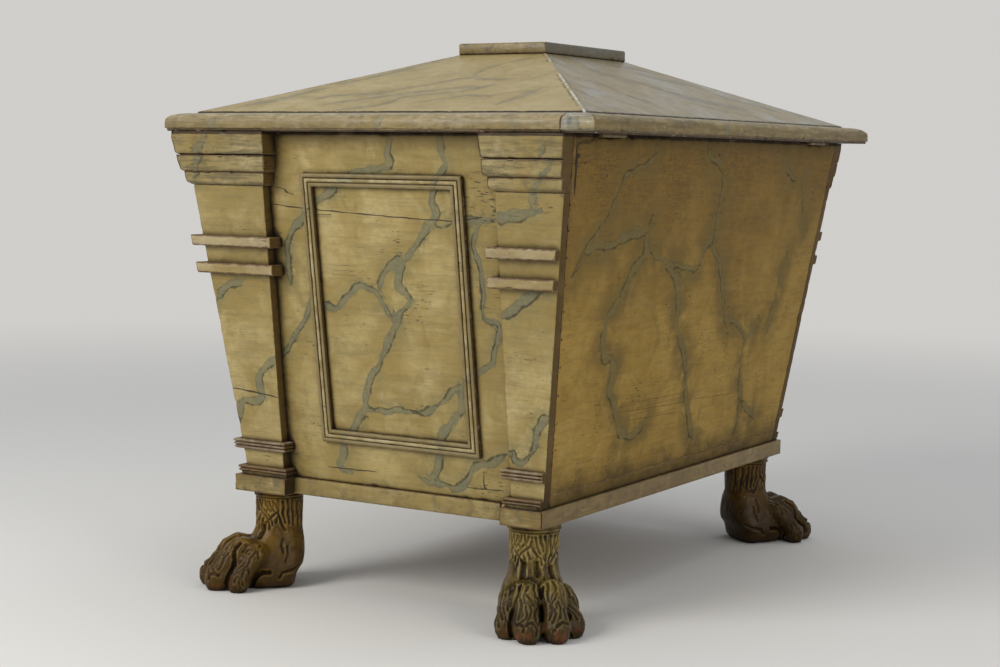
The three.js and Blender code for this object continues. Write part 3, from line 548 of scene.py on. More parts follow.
brassLook = {"metal": (420, 280, 100), "tarnish": (120, 75, 35), "paintRest": (140, 94, 36)}


def agedBrass(name, look):
    g = Graph(name, look)
    patch = g.cloud(8, 4, 0.6)
    rest = g.patches(0.34, 0.42, 14, 4, 0.6, shift=5.0)
    g.ground = paint(look["metal"])
    g.coat(g.step(patch, 0.35, 0.65), "tarnish")
    g.coat(rest, "paintRest")
    return g.finish(0.38 + patch * 0.25, g.bump(patch + rest * 0.5, 0.3, 0.3), metal=1 - rest)


pawLook = {
    "bronze": (150, 104, 26), "dark": (24, 14, 4), "groove": (6, 3, 2), "rubbed": (290, 222, 82),
    "toeRed": (120, 36, 12),
}
# the same bronze, darker for the feet further back: painted shade
shadedPawLook = dict(
    pawLook, bronze=(150, 82, 12), dark=(36, 19, 4), rubbed=(240, 160, 44), toeRed=(90, 24, 7),
)
deepShadedPawLook = dict(pawLook, bronze=(80, 40, 5), dark=(20, 10, 2), rubbed=(140, 86, 18), toeRed=(50, 14, 5))


def bronzedPaw(name, look):
    g = Graph(name, look)
    patch = g.cloud(22, 4, 0.6, warp=0.5)
    fine = g.cloud(3, 4, 0.6, shift=3.0)
    ridge = g.carried("ridge") + (fine - 0.5) * 0.5
    low = g.step(g.axis("Z") + (patch - 0.5) * 0.03, 0.075, 0.020)
    smudgeAndShade = g.step(g.shade(12), 0.25, 0.9)
    g.ground = paint(look["bronze"])
    g.coat(g.step(patch, 0.36, 0.68), "dark")
    # darker towards the bottom of the foot: painted shade
    g.coat(low * 0.82, "dark")
    g.coat(g.step(ridge, 0.20, 1.1) * (0.75 - low * 0.5), "rubbed")
    g.coat(g.step(ridge, -0.05, -0.95) * 0.72, "groove")
    g.coat(g.carried("tip") * g.patches(0.46, 0.62, 12, 3, 0.6, shift=8.0) * 0.8, "toeRed")
    # darker where the carving and the floor close in, from ambient occlusion: dirt and painted shade
    g.coat(smudgeAndShade * 0.85, "groove")
    dull = 0.36 + (patch - 0.5) * 0.25 + smudgeAndShade * 0.3
    return g.finish(dull, g.bump(fine + patch * 0.5, 0.25, 0.4), 0.13)


nailLook = {"iron": (14, 10, 8), "rust": (45, 20, 10)}


def rustyIron(name, look):
    g = Graph(name, look)
    patch = g.cloud(2.5, 4, 0.6)
    g.ground = paint(look["iron"])
    g.coat(g.step(patch, 0.35, 0.65), "rust")
    return g.finish(0.65 + (patch - 0.5) * 0.3, g.bump(patch, 0.4, 0.3), 0.3)


materials = {key: marblePaint("marble_paint_" + key, look) for key, look in looks.items()}
materials["woodX"] = bareWood("bare_wood_long", woodLook, 0)
materials["woodY"] = bareWood("bare_wood_cross", woodLook, 1)
materials["zinc"] = zincSheet("zinc_sheet", zincLook)
materials["brass"] = agedBrass("aged_brass", brassLook)
materials["paw"] = bronzedPaw("bronzed_paw", pawLook)
materials["shadedPaw"] = bronzedPaw("bronzed_paw_shaded", shadedPawLook)
materials["deepShadedPaw"] = bronzedPaw("bronzed_paw_deep_shade", deepShadedPawLook)
materials["nail"] = rustyIron("rusty_iron", nailLook)
print("materials are mixed")


# Courses of the painted veins and of the cracks, read on the photograph's 1000 by 667 frame:
# a width in millimetres, then across and down for each point that the course passes through

endVeins = (
    (9, 388, 132, 388, 150, 388, 165, 370, 170, 352, 175, 325, 195, 312, 205, 298, 222, 291, 233, 287, 247,
     288, 260, 290, 282),
    (8, 437, 132, 441, 150, 445, 165, 438, 178, 432, 200, 437, 215, 425, 230, 405, 262),
    (7, 310, 298, 306, 317, 295, 334, 286, 350, 275, 362),
    (8, 322, 302, 335, 308, 349, 295, 362, 285, 380, 299, 391, 319),
    (9, 380, 290, 385, 272, 400, 262, 399, 275, 398, 285, 410, 299, 400, 314, 394, 330, 388, 341, 385, 352,
     377, 368, 370, 382, 366, 397, 364, 408, 359, 417, 355, 428, 349, 432, 345, 444, 342, 455, 341, 466,
     350, 472),
    (7, 364, 410, 379, 410, 388, 412, 398, 409, 409, 412, 423, 413, 438, 406, 448, 396, 461, 386, 470, 381,
     479, 373, 492, 362, 497, 343, 500, 330, 497, 325, 484, 318, 483, 299, 482, 284, 480, 268, 476, 256,
     473, 244, 477, 230, 482, 222),
    (7, 454, 222, 462, 219, 474, 220, 485, 222, 494, 219),
    (5, 437, 228, 446, 226, 454, 222),
    (9, 463, 384, 461, 398, 461, 412, 450, 424, 442, 436, 443, 445, 441, 455, 438, 468, 433, 480, 448, 486,
     455, 489, 466, 483, 471, 473, 477, 466, 492, 463, 506, 454),
    (6, 420, 478, 428, 483, 436, 480),
)

pilasterVeins = (
    (11, 210, 130, 205, 146, 202, 154, 200, 165, 196, 176),
    (9, 243, 279, 232, 284, 222, 290, 217, 300),
    (10, 278, 356, 267, 365, 259, 376, 259, 386, 262, 396, 254, 401, 243, 401, 240, 410, 240, 421),
    (6, 550, 142, 546, 150, 543, 158),
    (7, 555, 162, 550, 170, 543, 178, 536, 187, 532, 196, 531, 208),
    (13, 538, 212, 528, 214, 515, 216, 504, 218, 494, 219),
    (10, 540, 294, 530, 298, 520, 303, 511, 311, 501, 320),
    (9, 500, 457, 506, 454, 514, 452, 515, 461, 524, 463, 531, 452, 535, 440, 540, 427, 550, 417),
)

backVeins = (
    (6, 656, 138, 656, 154, 647, 165, 637, 169, 627, 175, 622, 185, 616, 200, 610, 215, 602, 227, 595, 237,
     585, 251, 579, 263, 573, 276),
    (10, 585, 251, 597, 246, 610, 246, 622, 240, 635, 234, 647, 230, 652, 219),
    (12, 647, 234, 646, 253, 640, 262, 632, 274, 627, 287, 620, 299, 612, 312, 606, 318, 605, 330, 603,
     347, 606, 358, 612, 359, 614, 371, 611, 382, 609, 393, 614, 404, 617, 418, 619, 431, 631, 436, 639,
     428, 644, 420),
    (8, 652, 253, 666, 262, 684, 267, 696, 269, 701, 259, 706, 247, 714, 238),
    (10, 666, 263, 672, 272, 678, 284, 678, 303, 678, 331, 684, 353, 686, 374, 686, 398, 689, 418, 692,
     438),
    (8, 708, 138, 711, 157, 719, 164, 724, 180, 722, 195, 718, 215, 716, 232, 714, 249, 719, 261, 722, 279,
     724, 304, 726, 322, 729, 320, 735, 322, 741, 329, 746, 337, 757, 327),
    (7, 785, 142, 786, 164, 793, 178, 802, 180, 803, 201, 804, 227),
    (7, 787, 255, 781, 271, 779, 286, 774, 301, 770, 316, 768, 330),
    (9, 745, 339, 741, 358, 740, 382, 740, 399, 748, 410, 754, 418),
    (6, 740, 399, 737, 422, 732, 438),
)

lidEndVeins = (
    (12, 240, 106, 287, 97, 318, 89, 348, 82, 371, 77, 397, 71, 420, 65, 445, 58),
    (7, 312, 99, 340, 95, 379, 93, 411, 87, 441, 82, 466, 78, 490, 79, 512, 78),
    (9, 330, 103, 360, 99, 400, 94, 440, 89, 480, 86),
    (8, 341, 109, 379, 105, 403, 97, 430, 94, 460, 91, 490, 85),
    (6, 421, 101, 448, 98, 466, 95, 487, 96, 510, 92, 535, 90),
    (6, 473, 77, 480, 71, 490, 67, 510, 62, 530, 58),
    (9, 500, 103, 520, 96, 540, 88),
)

lidBackVeins = (
    (12, 575, 78, 600, 84, 622, 93, 641, 99, 660, 106),
    (20, 590, 70, 622, 79, 654, 87, 684, 97, 717, 104, 746, 110),
    (14, 640, 74, 664, 80, 694, 86, 720, 96, 749, 104, 775, 111),
    (8, 575, 88, 590, 96, 606, 102),
    (8, 612, 66, 640, 70, 668, 76),
    (9, 690, 103, 725, 111, 760, 118),
)

edgeEndVeins = (
    (10, 382, 114, 379, 118, 373, 132),
    (8, 212, 114, 208, 132),
    (12, 566, 114, 573, 124, 570, 134),
)

edgeBackVeins = (
    (12, 733, 120, 728, 138),
)

endCracks = (
    (1.0, 271, 204, 286, 206, 301, 208, 320, 210, 360, 214, 417, 219, 433, 220, 454, 221, 480, 218),
    (0.7, 274, 187, 284, 189),
    (2.0, 288, 193, 292, 194),
    (0.1, 335, 265, 355, 266),
    (0.1, 334, 275, 356, 276),
    (0.1, 310, 216, 330, 217),
    (1.2, 484, 475, 484, 488),
    (1.0, 470, 488, 502, 491),
    (1.0, 330, 467, 375, 472),
)

pilasterCracks = (
    (1.4, 232, 388, 250, 391, 279, 398),
    (0.9, 482, 137, 485, 160),
)

backCracks = (
    (0.1, 622, 404, 652, 399, 684, 393),
    (0.1, 620, 412, 650, 408, 684, 402),
    (0.1, 630, 420, 655, 416, 676, 412),
    (0.1, 695, 399, 715, 396, 735, 393),
    (0.3, 575, 163, 586, 162),
    (4.0, 577, 144, 584, 142, 595, 141),
    (3.2, 577, 143, 576.5, 165, 574.5, 193),
    (0.9, 590, 140, 610, 138),
)


courseLook = {
    "facing": 0.97,                  # the cosine up to which a polygon counts as part of the face
    "sampleStep": 1.2,
    "veinWobble": 2.2,
    "crackWobble": 0.8,
    "wobbleLength": 15.0,
    "taper": 9.0,
}


def treeOf(places):
    tree = KDTree(max(len(places), 1))
    for index, place in enumerate(places):
        tree.insert(place, index)
    tree.balance()
    return tree


def facePlane(node, towards):
    aim = Vector(towards).normalized()
    facing = [p for p in frame["nodes"][node].data.polygons if p.normal.dot(aim) > courseLook["facing"]]
    widest = max(facing, key=lambda p: p.area)
    return Vector(widest.center), Vector(widest.normal)


def onPlane(pixel, point, normal):
    start, aim = Vector(shot["place"]), aimThrough(pixel)
    return start + aim * ((point - start).dot(normal) / aim.dot(normal))


def courseSamples(course, plane, across, wobble, seed):
    raw = [onPlane(pixel, *plane) / mm for pixel in zip(course[1::2], course[2::2])]
    flat = [np.array((p[across[0]], p[across[1]])) for p in raw]
    knots = [2 * flat[0] - flat[1]] + flat + [2 * flat[-1] - flat[-2]]
    samples = []
    for before, start, end, after in zip(knots, knots[1:], knots[2:], knots[3:]):
        count = max(2, int(np.linalg.norm(end - start) / courseLook["sampleStep"]))
        for index in range(count):
            t = index / count
            samples.append(0.5 * (2 * start + (end - before) * t
                                  + (2 * before - 5 * start + 4 * end - after) * t ** 2
                                  + (3 * start - before - 3 * end + after) * t ** 3))
    travelled = 0.0
    traced = []
    whole = sum(np.linalg.norm(b - a) for a, b in zip(samples, samples[1:]))
    for index, here in enumerate(samples):
        ahead = samples[min(index + 1, len(samples) - 1)] - samples[max(index - 1, 0)]
        length = max(np.linalg.norm(ahead), 1e-6)
        side = np.array((-ahead[1], ahead[0])) / length
        at = travelled / courseLook["wobbleLength"]
        sway = noise.noise((at, seed, 0.0)) * wobble
        sway += noise.noise((at * 3.1, seed, 8.0)) * wobble * 0.45
        swell = 0.72 + 0.55 * (noise.noise((at * 0.8, seed, 4.0)) * 1.3 + 0.5)
        taper = min(1.0, 0.35 + min(travelled, whole - travelled) / courseLook["taper"])
        place = here + side * sway
        traced.append((place[0], place[1], course[0] / 2 * max(swell, 0.45) * taper, side[0], side[1]))
        travelled += length / 2
    return traced


def courseTree(plane, across, courses, wobble):
    samples = []
    for index, course in enumerate(courses):
        samples += courseSamples(course, plane, across, wobble, 1.37 * index)
    return treeOf([(s[0], s[1], 0) for s in samples]), samples


# the faces seen straight on: the node, its outward side, the two axes that are kept, veins and cracks
faceKinds = {
    "end": ("right_end_board", (1, 0, 0), (1, 2), endVeins, endCracks),
    "pilasterEnd": ("back_right_pilaster", (1, 0, 0), (1, 2), pilasterVeins, pilasterCracks),
    "back": ("back_board", (0, 1, 0), (0, 2), backVeins, backCracks),
    "lidEnd": ("lid_slopes", (0.29, 0, 0.96), (1, 0), lidEndVeins, ()),
    "lidBack": ("lid_slopes", (0, 0.36, 0.93), (0, 1), lidBackVeins, ()),
    "edgeEnd": ("lid_right_rail", (1, 0, 0), (1, 2), edgeEndVeins, ()),
    "edgeBack": ("lid_back_rail", (0, 1, 0), (0, 2), edgeBackVeins, ()),
}
courseTrees = {}
for kindName, (node, towards, across, veins, cracks) in faceKinds.items():
    plane = facePlane(node, towards)
    courseTrees[kindName] = (across, {
        "veinCourse": courseTree(plane, across, veins, courseLook["veinWobble"]),
        "crackCourse": courseTree(plane, across, cracks, courseLook["crackWobble"])})
print("courses of the veins are traced")


def faceOf(name, normal):
    # which of the kinds a face belongs to, and whether it mirrors it
    alongX = abs(normal[0]) > abs(normal[1])
    flip = -1.0 if (normal[0] if alongX else normal[1]) < 0 else 1.0
    if name == "lid_slopes":
        return ("lidEnd" if alongX else "lidBack", flip) if normal[2] > 0.5 else (None, 1.0)
    if abs(normal[2]) > 0.8:
        return None, 1.0
    if frame["nodes"][name]["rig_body"] == "lid":
        return "edgeEnd" if alongX else "edgeBack", flip
    proud = any(word in name for word in ("pilaster", "capital", "band"))
    return ("pilasterEnd" if proud else "end") if alongX else "back", flip


noCourse = (farAway, farAway, 0.0)


def reachTo(tree, samples, places):
    found = np.tile(noCourse, (len(places), 1))
    if not samples:
        return found
    for index, place in enumerate(places):
        _, nearest, away = tree.find((place[0], place[1], 0))
        x, y, half, sideX, sideY = samples[nearest]
        aside = (place[0] - x) * sideX + (place[1] - y) * sideY
        found[index] = (min(away, farAway), max(-farAway, min(aside, farAway)), half)
    return found


def readAll(items, key, width=1, kind=float):
    values = np.empty(len(items) * width, dtype=kind)
    items.foreach_get(key, values)
    return values.reshape(-1, width) if width > 1 else values


def layCourses(mesh, name):
    coordinates = readAll(mesh.vertices, "co", 3) / mm
    corners = readAll(mesh.loops, "vertex_index", kind=np.int64)
    totals = readAll(mesh.polygons, "loop_total", kind=np.int64)
    classes = [faceOf(name, polygon.normal) for polygon in mesh.polygons]
    number = {c: i for i, c in enumerate(sorted({c for c in classes if c[0]}))}
    perCorner = np.repeat(np.array([number.get(c, -1) for c in classes]), totals)
    laid = {key: np.tile(noCourse, (len(corners), 1)) for key in ("veinCourse", "crackCourse")}
    for (kindName, flip), index in number.items():
        across, trees = courseTrees[kindName]
        mask = perCorner == index
        used = np.unique(corners[mask])
        places = coordinates[used][:, list(across)]
        places *= (flip, flip) if kindName in ("lidEnd", "lidBack") else (flip, 1)
        table = np.empty((len(coordinates), 3))
        for key, values in laid.items():
            table[used] = reachTo(*trees[key], places)
            values[mask] = table[corners[mask]]
    for key, values in laid.items():
        carried = mesh.attributes.new(key, "FLOAT_VECTOR", "CORNER")
        carried.data.foreach_set("vector", values.astype(np.float32).ravel())


# Making a finer copy of a construction piece

refining = {
    "flatUpTo": 0.4,                 # degrees between two faces that are taken as one
    "slices": 8,                     # mesh steps from one cut through the whole piece to the next
    "longest": 1.45,                 # mesh steps in the longest edge that stays
}


def takeCopy(node):
    bm = bmesh.new()
    bm.from_mesh(frame["nodes"][node].data)
    bmesh.ops.remove_doubles(bm, verts=bm.verts, dist=mergeReach)
    bmesh.ops.dissolve_limit(bm, verts=bm.verts, edges=bm.edges, use_dissolve_boundaries=False,
                             angle_limit=math.radians(refining["flatUpTo"]))
    bm.normal_update()
    return bm


def convexEdges(bm, sharper):
    limit = math.radians(sharper)
    return [e for e in bm.edges if len(e.link_faces) == 2 and e.calc_face_angle_signed(0) > limit]


def edgeTree(edges, spacing=2.5 * mm):
    places = []
    for edge in edges:
        start, end = edge.verts[0].co, edge.verts[1].co
        count = max(1, int((end - start).length / spacing))
        places += [start.lerp(end, index / count) for index in range(count + 1)]
    return treeOf(places) if places else None


def cutAcross(bm, place, across):
    bmesh.ops.bisect_plane(bm, geom=bm.verts[:] + bm.edges[:] + bm.faces[:], dist=mergeReach,
                           plane_co=place, plane_no=across)


def sliceUp(bm, spacing):
    for axis in range(3):
        values = [v.co[axis] for v in bm.verts]
        low, high = min(values), max(values)
        count = int((high - low) / spacing)
        if count < 2:
            continue
        across = Vector([1.0 if index == axis else 0.0 for index in range(3)])
        for index in range(1, count + 1):
            cutAcross(bm, across * (low + (high - low) * index / (count + 1)), across)


def densify(bm, step):
    while True:
        longOnes = [e for e in bm.edges if e.calc_length() > step * refining["longest"]]
        if not longOnes:
            break
        bmesh.ops.subdivide_edges(bm, edges=longOnes, cuts=1, use_grid_fill=True)
    bmesh.ops.triangulate(bm, faces=[f for f in bm.faces if len(f.verts) > 4])


ageing = {
    "waveLength": 75.0,
    "wave": 0.35,
    "dentLength": 14.0,
    "dent": 0.16,
    "chipReach": 3.2,
    "chip": 1.0,
    "chipFrom": 0.12,
    "chipLength": 8.0,
}


def weather(bm, tree, strength):
    bm.normal_update()
    moves = []
    ends = (min(v.co.z for v in bm.verts), max(v.co.z for v in bm.verts))
    for vertex in bm.verts:
        place = vertex.co / mm
        inward = ageing["wave"] * (0.5 + noise.noise(place / ageing["waveLength"]))
        inward += ageing["dent"] * (0.5 + noise.noise(place / ageing["dentLength"]))
        reach = tree.find(vertex.co)[2] / mm if tree else farAway
        if reach < ageing["chipReach"]:
            bite = max(noise.noise(place / ageing["chipLength"]) - ageing["chipFrom"], 0.0)
            inward += ageing["chip"] * bite * 2.2 * (1 - reach / ageing["chipReach"])
        move = -vertex.normal * max(inward, 0.0) * strength * mm
        if min(abs(vertex.co.z - end) for end in ends) < sameHeight:
            move.z = 0                       # what stands under or over the piece still touches it
        moves.append(move)
    for vertex, move in zip(bm.verts, moves):
        vertex.co += move


def asPiece(bm, name, mats, sharp=smoothUpTo):
    mesh = bpy.data.meshes.new(name)
    bm.to_mesh(mesh)
    bm.free()
    for material in mats:
        mesh.materials.append(material)
    mesh.polygons.foreach_set("use_smooth", [True] * len(mesh.polygons))
    mesh.set_sharp_from_angle(angle=math.radians(sharp))
    return placed(name, mesh)


def seat(piece, node):
    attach(piece, frame["nodes"][node]["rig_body"])
    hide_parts(node)


lidNose = {
    "outwards": (338.9, 345.0, 351.0, 358.0, 360.75, 362.76, 363.5),     # from the middle of the lid
    "heights": (532.1, 531.9, 531.3, 529.6, 527.9, 525.4, 522.0),
    "cuts": (345.0, 351.0),
    "lowest": 519.0,
    "innerEdge": 533.0,
}


def roundNose(bm):
    # the rails' upper side is brought to a full nose that starts right under the seam, as on the real lid
    shift = (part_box("lid_right_rail")[1].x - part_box("lid_back_rail")[1].y) / mm
    for cut in lidNose["cuts"]:
        for place in ((cut, 0, 0), (-cut, 0, 0), (0, cut - shift, 0), (0, shift - cut, 0)):
            cutAcross(bm, Vector(place) * mm, Vector(place).normalized())
    inner = lidNose["outwards"][0] - 0.2
    for vertex in bm.verts:
        place = vertex.co / mm
        outwards = max(abs(place.x), abs(place.y) + shift)
        onEdge = place.z > lidNose["innerEdge"] and outwards > inner
        if place.z > lidNose["lowest"] and (outwards > inner + 1 or onEdge):
            vertex.co.z = float(np.interp(outwards, lidNose["outwards"], lidNose["heights"])) * mm
    bm.normal_update()


def shapedCopy(node, bevel, step):
    bm = takeCopy(node)
    if node.startswith("lid_") and node.endswith("_rail"):
        roundNose(bm)
    edges = convexEdges(bm, sharpEdge)
    tree = edgeTree(edges)
    bmesh.ops.bevel(bm, geom=edges, offset=bevel * mm, offset_type="OFFSET", segments=2,
                    profile=0.5, affect="EDGES", material=-1, clamp_overlap=True)
    if step:
        sliceUp(bm, step * refining["slices"] * mm)
        densify(bm, step * mm)
    return bm, tree


def reedOffsets(node, places):
    # how far in from the outer edge of a panel frame
    low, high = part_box(node)
    across = 0 if node == "front_frame" else 1
    return [min(place[across] - low[across], high[across] - place[across],
                place.z - low.z, high.z - place.z) / mm for place in places]


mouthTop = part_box("back_right_capital")[1].z
closing = {"lift": 1.3, "uneven": 0.1}      # the case reaches up to the lid, so that no light shows between


def paintedPiece(node, slot, bevel, step, age, choose, paints):
    bm, tree = shapedCopy(node, bevel, step)
    rim = [v for v in bm.verts if abs(v.co.z - mouthTop) < sameHeight]
    weather(bm, tree, age)
    for vertex in rim:
        uneven = closing["uneven"] * noise.noise(vertex.co / mm / 20)
        vertex.co.z = mouthTop + (closing["lift"] + uneven) * mm
    for face in bm.faces:
        face.material_index = choose(face.normal)
    piece = asPiece(bm, node + "_painted", [materials[key] for key in paints])
    layCourses(piece.data, node)
    places = [v.co for v in piece.data.vertices]
    if node.endswith("_frame"):
        reach = reedOffsets(node, places)
    else:
        reach = [min(tree.find(place)[2] / mm, farAway) if tree else farAway for place in places]
    piece.data.attributes.new("wear", "FLOAT", "POINT").data.foreach_set("value", reach)
    seat(piece, node)


def outsideOf(node):
    # 0 for the painted outside, 1 for what looks at the back, 2 for the bare inside
    low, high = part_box(node)
    centre = (low + high) / 2
    alongX, alongY = abs(centre.x) > abs(centre.y), abs(centre.y) > abs(centre.x)

    def choose(normal):
        if normal.y > 0.75:
            return 1 if centre.y > 0 or alongX else 2
        inwardX = alongX and normal.x * centre.x < 0 and abs(normal.x) > 0.75
        inwardY = alongY and normal.y * centre.y < 0 and abs(normal.y) > 0.75
        return 2 if inwardX or inwardY else 0

    return choose


def edgeSides(normal):
    return 1 if abs(normal.y) > abs(normal.x) else 0


def lidSides(normal):
    return 1 if normal.z < -0.4 else 2 * edgeSides(normal)


def bottomSides(normal):
    return 1 if normal.y > 0.75 else 2


corners = ("back_right", "front_right", "back_left", "front_left")
cornerParts = ("pilaster", "capital", "upper_band", "lower_band", "reeded_band", "pilaster_foot")
caseNodes = [
    "right_end_board", "left_end_board", "front_board", "back_board",
    "front_rail", "back_rail", "right_end_rail", "left_end_rail",
    *(f"{corner}_{part}" for corner in corners for part in cornerParts),
    "front_frame", "right_end_frame", "left_end_frame", "bottom_board",
]
paintPlan = {                        # by the nodes' names: bevel and mesh step in millimetres, and age
    "bottom_board": (1.0, 4.0, 1.0), "_board": (0.8, 4.0, 1.0),
    "_rail": (1.6, 4.0, 1.0), "_frame": (0.4, 4.0, 0.6),
    "pilaster_foot": (0.9, 3.0, 0.9), "_pilaster": (1.0, 3.5, 1.0), "_capital": (1.1, 3.0, 1.5),
    "reeded_band": (0.5, 2.6, 0.7), "_band": (1.3, 2.6, 1.5),
}
outsidePaint = {"pilaster_foot": "foot", "pilaster": "pilaster", "capital": "capital", "reeded": "footReed",
                "_band": "band", "_rail": "rail", "_frame": "reed", "_end_board": "end", "": "marble"}
backPaint = {"rail": "backRail", "back_board": "back", "bottom_board": "back", "": "backEdge"}


def firstMatch(node, table):
    return next(value for word, value in table.items() if word in node)


for node in caseNodes:
    slot = "back_paint" if node in ("back_board", "back_rail") else "marble_paint"
    choose = bottomSides if node == "bottom_board" else outsideOf(node)
    paints = (firstMatch(node, outsidePaint), firstMatch(node, backPaint), "woodX")
    paintedPiece(node, slot, *firstMatch(node, paintPlan), choose, paints)
print("case is painted")

for rail in ("lid_front_rail", "lid_right_rail", "lid_left_rail"):
    paintedPiece(rail, "lid_paint", 0.9, 3.5, 1.0, edgeSides, ("lidEdge", "lidEdgeBack"))
paintedPiece("lid_back_rail", "lid_paint", 0.9, 3.5, 1.0, edgeSides, ("lidCorner", "lidEdgeBack"))
paintedPiece("lid_slopes", "lid_paint", 1.2, 4.0, 1.0, lidSides, ("lid", "woodX", "lidBack"))
paintedPiece("lid_cap", "lid_paint", 1.8, 3.5, 1.6, edgeSides, ("cap", "capBack"))
print("lid is painted")


def plainPiece(node, material, bevel, step=0, age=0):
    bm, tree = shapedCopy(node, bevel, step)
    if step:
        weather(bm, tree, age)
    seat(asPiece(bm, node + "_finished", [materials[material]]), node)


for node in ("lid_inner_frame", "long_divider_1", "long_divider_2"):
    plainPiece(node, "woodX", 1.0, 7.0, 0.8)
for number in range(1, 4):
    plainPiece(f"cross_divider_{number}", "woodY", 1.0, 7.0, 0.8)
plainPiece("liner", "zinc", 0.4, 9.0, 0.5)
for side in ("right", "left"):
    for part, bevel in (("case_leaf", 0.25), ("lid_leaf", 0.25), ("pin", 0.2)):
        plainPiece(f"{side}_hinge_{part}", "brass", bevel)
print("inside and hinges are finished")


# Nails in the back, at the places that the photograph shows

nails = {
    "places": ((3.1, 579, 155.8), (1.5, 607, 176), (1.4, 585.5, 163), (1.6, 720, 155.6), (1.5, 827, 187),
               (1.0, 657, 153), (1.1, 570.5, 205), (1.0, 569, 231), (1.1, 567, 258), (1.0, 565.5, 285),
               (1.1, 563.8, 312), (1.3, 562, 340), (1.0, 560.3, 368), (1.1, 558.5, 396), (1.0, 557, 424),
               (1.1, 555.5, 450), (1.3, 690, 467), (1.2, 612, 482), (1.3, 760, 447)),
    "height": 0.9,
    "proud": 0.12,
}


def driveNails():
    bm = bmesh.new()
    point, normal = facePlane("back_board", (0, 1, 0))
    turned = normal.to_track_quat("Z", "Y").to_matrix().to_4x4()
    for radius, *pixel in nails["places"]:
        spot = onPlane(pixel, point, normal) + normal * (nails["proud"] - nails["height"] / 2) * mm
        size = radius * mm
        bmesh.ops.create_cone(bm, cap_ends=True, segments=12, radius1=size, radius2=size * 0.8,
                              depth=nails["height"] * mm, matrix=Matrix.Translation(spot) @ turned)
    piece = asPiece(bm, "back_nails", [materials["nail"]])
    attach(piece, "case")


driveNails()
print("nails are in the back")


# Feet

# Grooves of the carving, read on enlargements of two feet in the photograph: the near one from the front
# and the left one from its side. A window is the enlargement's corner, and zoom its scale. Each groove is
# across and down for its points.

frontCarving = {
    "corner": "back_right", "window": (490, 520), "zoom": 11.2, "facing": 0.15,
    "hair": (
        (350, 175, 335, 230, 300, 280), (430, 190, 410, 250, 360, 300, 310, 350, 285, 400, 275, 460),
        (470, 200, 475, 260, 500, 330), (510, 200, 520, 260, 535, 330, 560, 380),
        (565, 190, 575, 260, 600, 310, 605, 350), (620, 190, 640, 260, 640, 330, 630, 400, 622, 450),
        (740, 170, 730, 240, 735, 310, 760, 380, 770, 450), (690, 180, 680, 250, 690, 330, 700, 400),
        (250, 190, 235, 260, 240, 340, 250, 420), (300, 180, 290, 230, 260, 280),
        (400, 820, 430, 860, 470, 900, 480, 950), (500, 720, 490, 780, 520, 860, 550, 900),
        (430, 740, 400, 790, 380, 850, 375, 920), (460, 960, 470, 1020, 440, 1080, 430, 1130),
        (530, 1000, 510, 1060, 520, 1130, 545, 1180), (400, 980, 420, 1040, 400, 1100, 350, 1140),
        (560, 1080, 560, 1140, 540, 1200), (340, 900, 350, 960, 330, 1030, 310, 1100),
        (640, 700, 650, 760, 640, 830, 650, 890), (700, 680, 740, 740, 730, 800, 690, 860, 670, 910),
        (750, 820, 730, 870, 690, 920, 680, 950), (680, 950, 700, 1000, 680, 1060, 660, 1110),
        (770, 920, 800, 980, 800, 1040, 790, 1090), (830, 1000, 850, 1060, 860, 1110),
        (720, 1000, 740, 1040, 720, 1100, 700, 1140), (780, 660, 840, 720, 880, 800, 900, 860),
        (860, 700, 920, 760, 950, 830), (900, 960, 960, 1000, 1000, 1060),
        (880, 1000, 940, 1040, 980, 1100), (280, 740, 240, 800, 200, 830, 210, 880),
        (170, 820, 180, 900, 220, 960), (130, 950, 150, 1020, 170, 1080, 190, 1120),
        (100, 960, 120, 1040, 140, 1100), (240, 780, 200, 850, 190, 930, 200, 1000),
        (60, 1050, 80, 1120, 90, 1200),
    ),
    "fold": (
        (382, 440, 375, 480), (532, 420, 530, 470), (676, 500, 680, 530),
        (465, 250, 450, 300, 400, 335, 340, 370, 310, 420, 300, 500),
        (460, 290, 490, 350, 530, 400, 570, 450, 575, 500),
        (400, 1180, 440, 1150, 500, 1160, 540, 1220, 525, 1300),
        (285, 1180, 330, 1165, 370, 1200, 365, 1260), (715, 1250, 760, 1180, 820, 1140, 885, 1160),
    ),
    "hollow": (
        (370, 500, 362, 550, 358, 615), (530, 490, 530, 550, 540, 610), (685, 540, 695, 590, 712, 630),
    ),
    "deep": (
        (580, 760, 575, 850, 572, 950, 590, 1020, 600, 1120, 596, 1200, 600, 1300, 592, 1360),
        (330, 740, 295, 850, 262, 950, 250, 1050, 228, 1130, 232, 1250, 250, 1330),
        (815, 740, 840, 850, 855, 930, 885, 1050, 905, 1150, 910, 1250, 898, 1320),
    ),
}

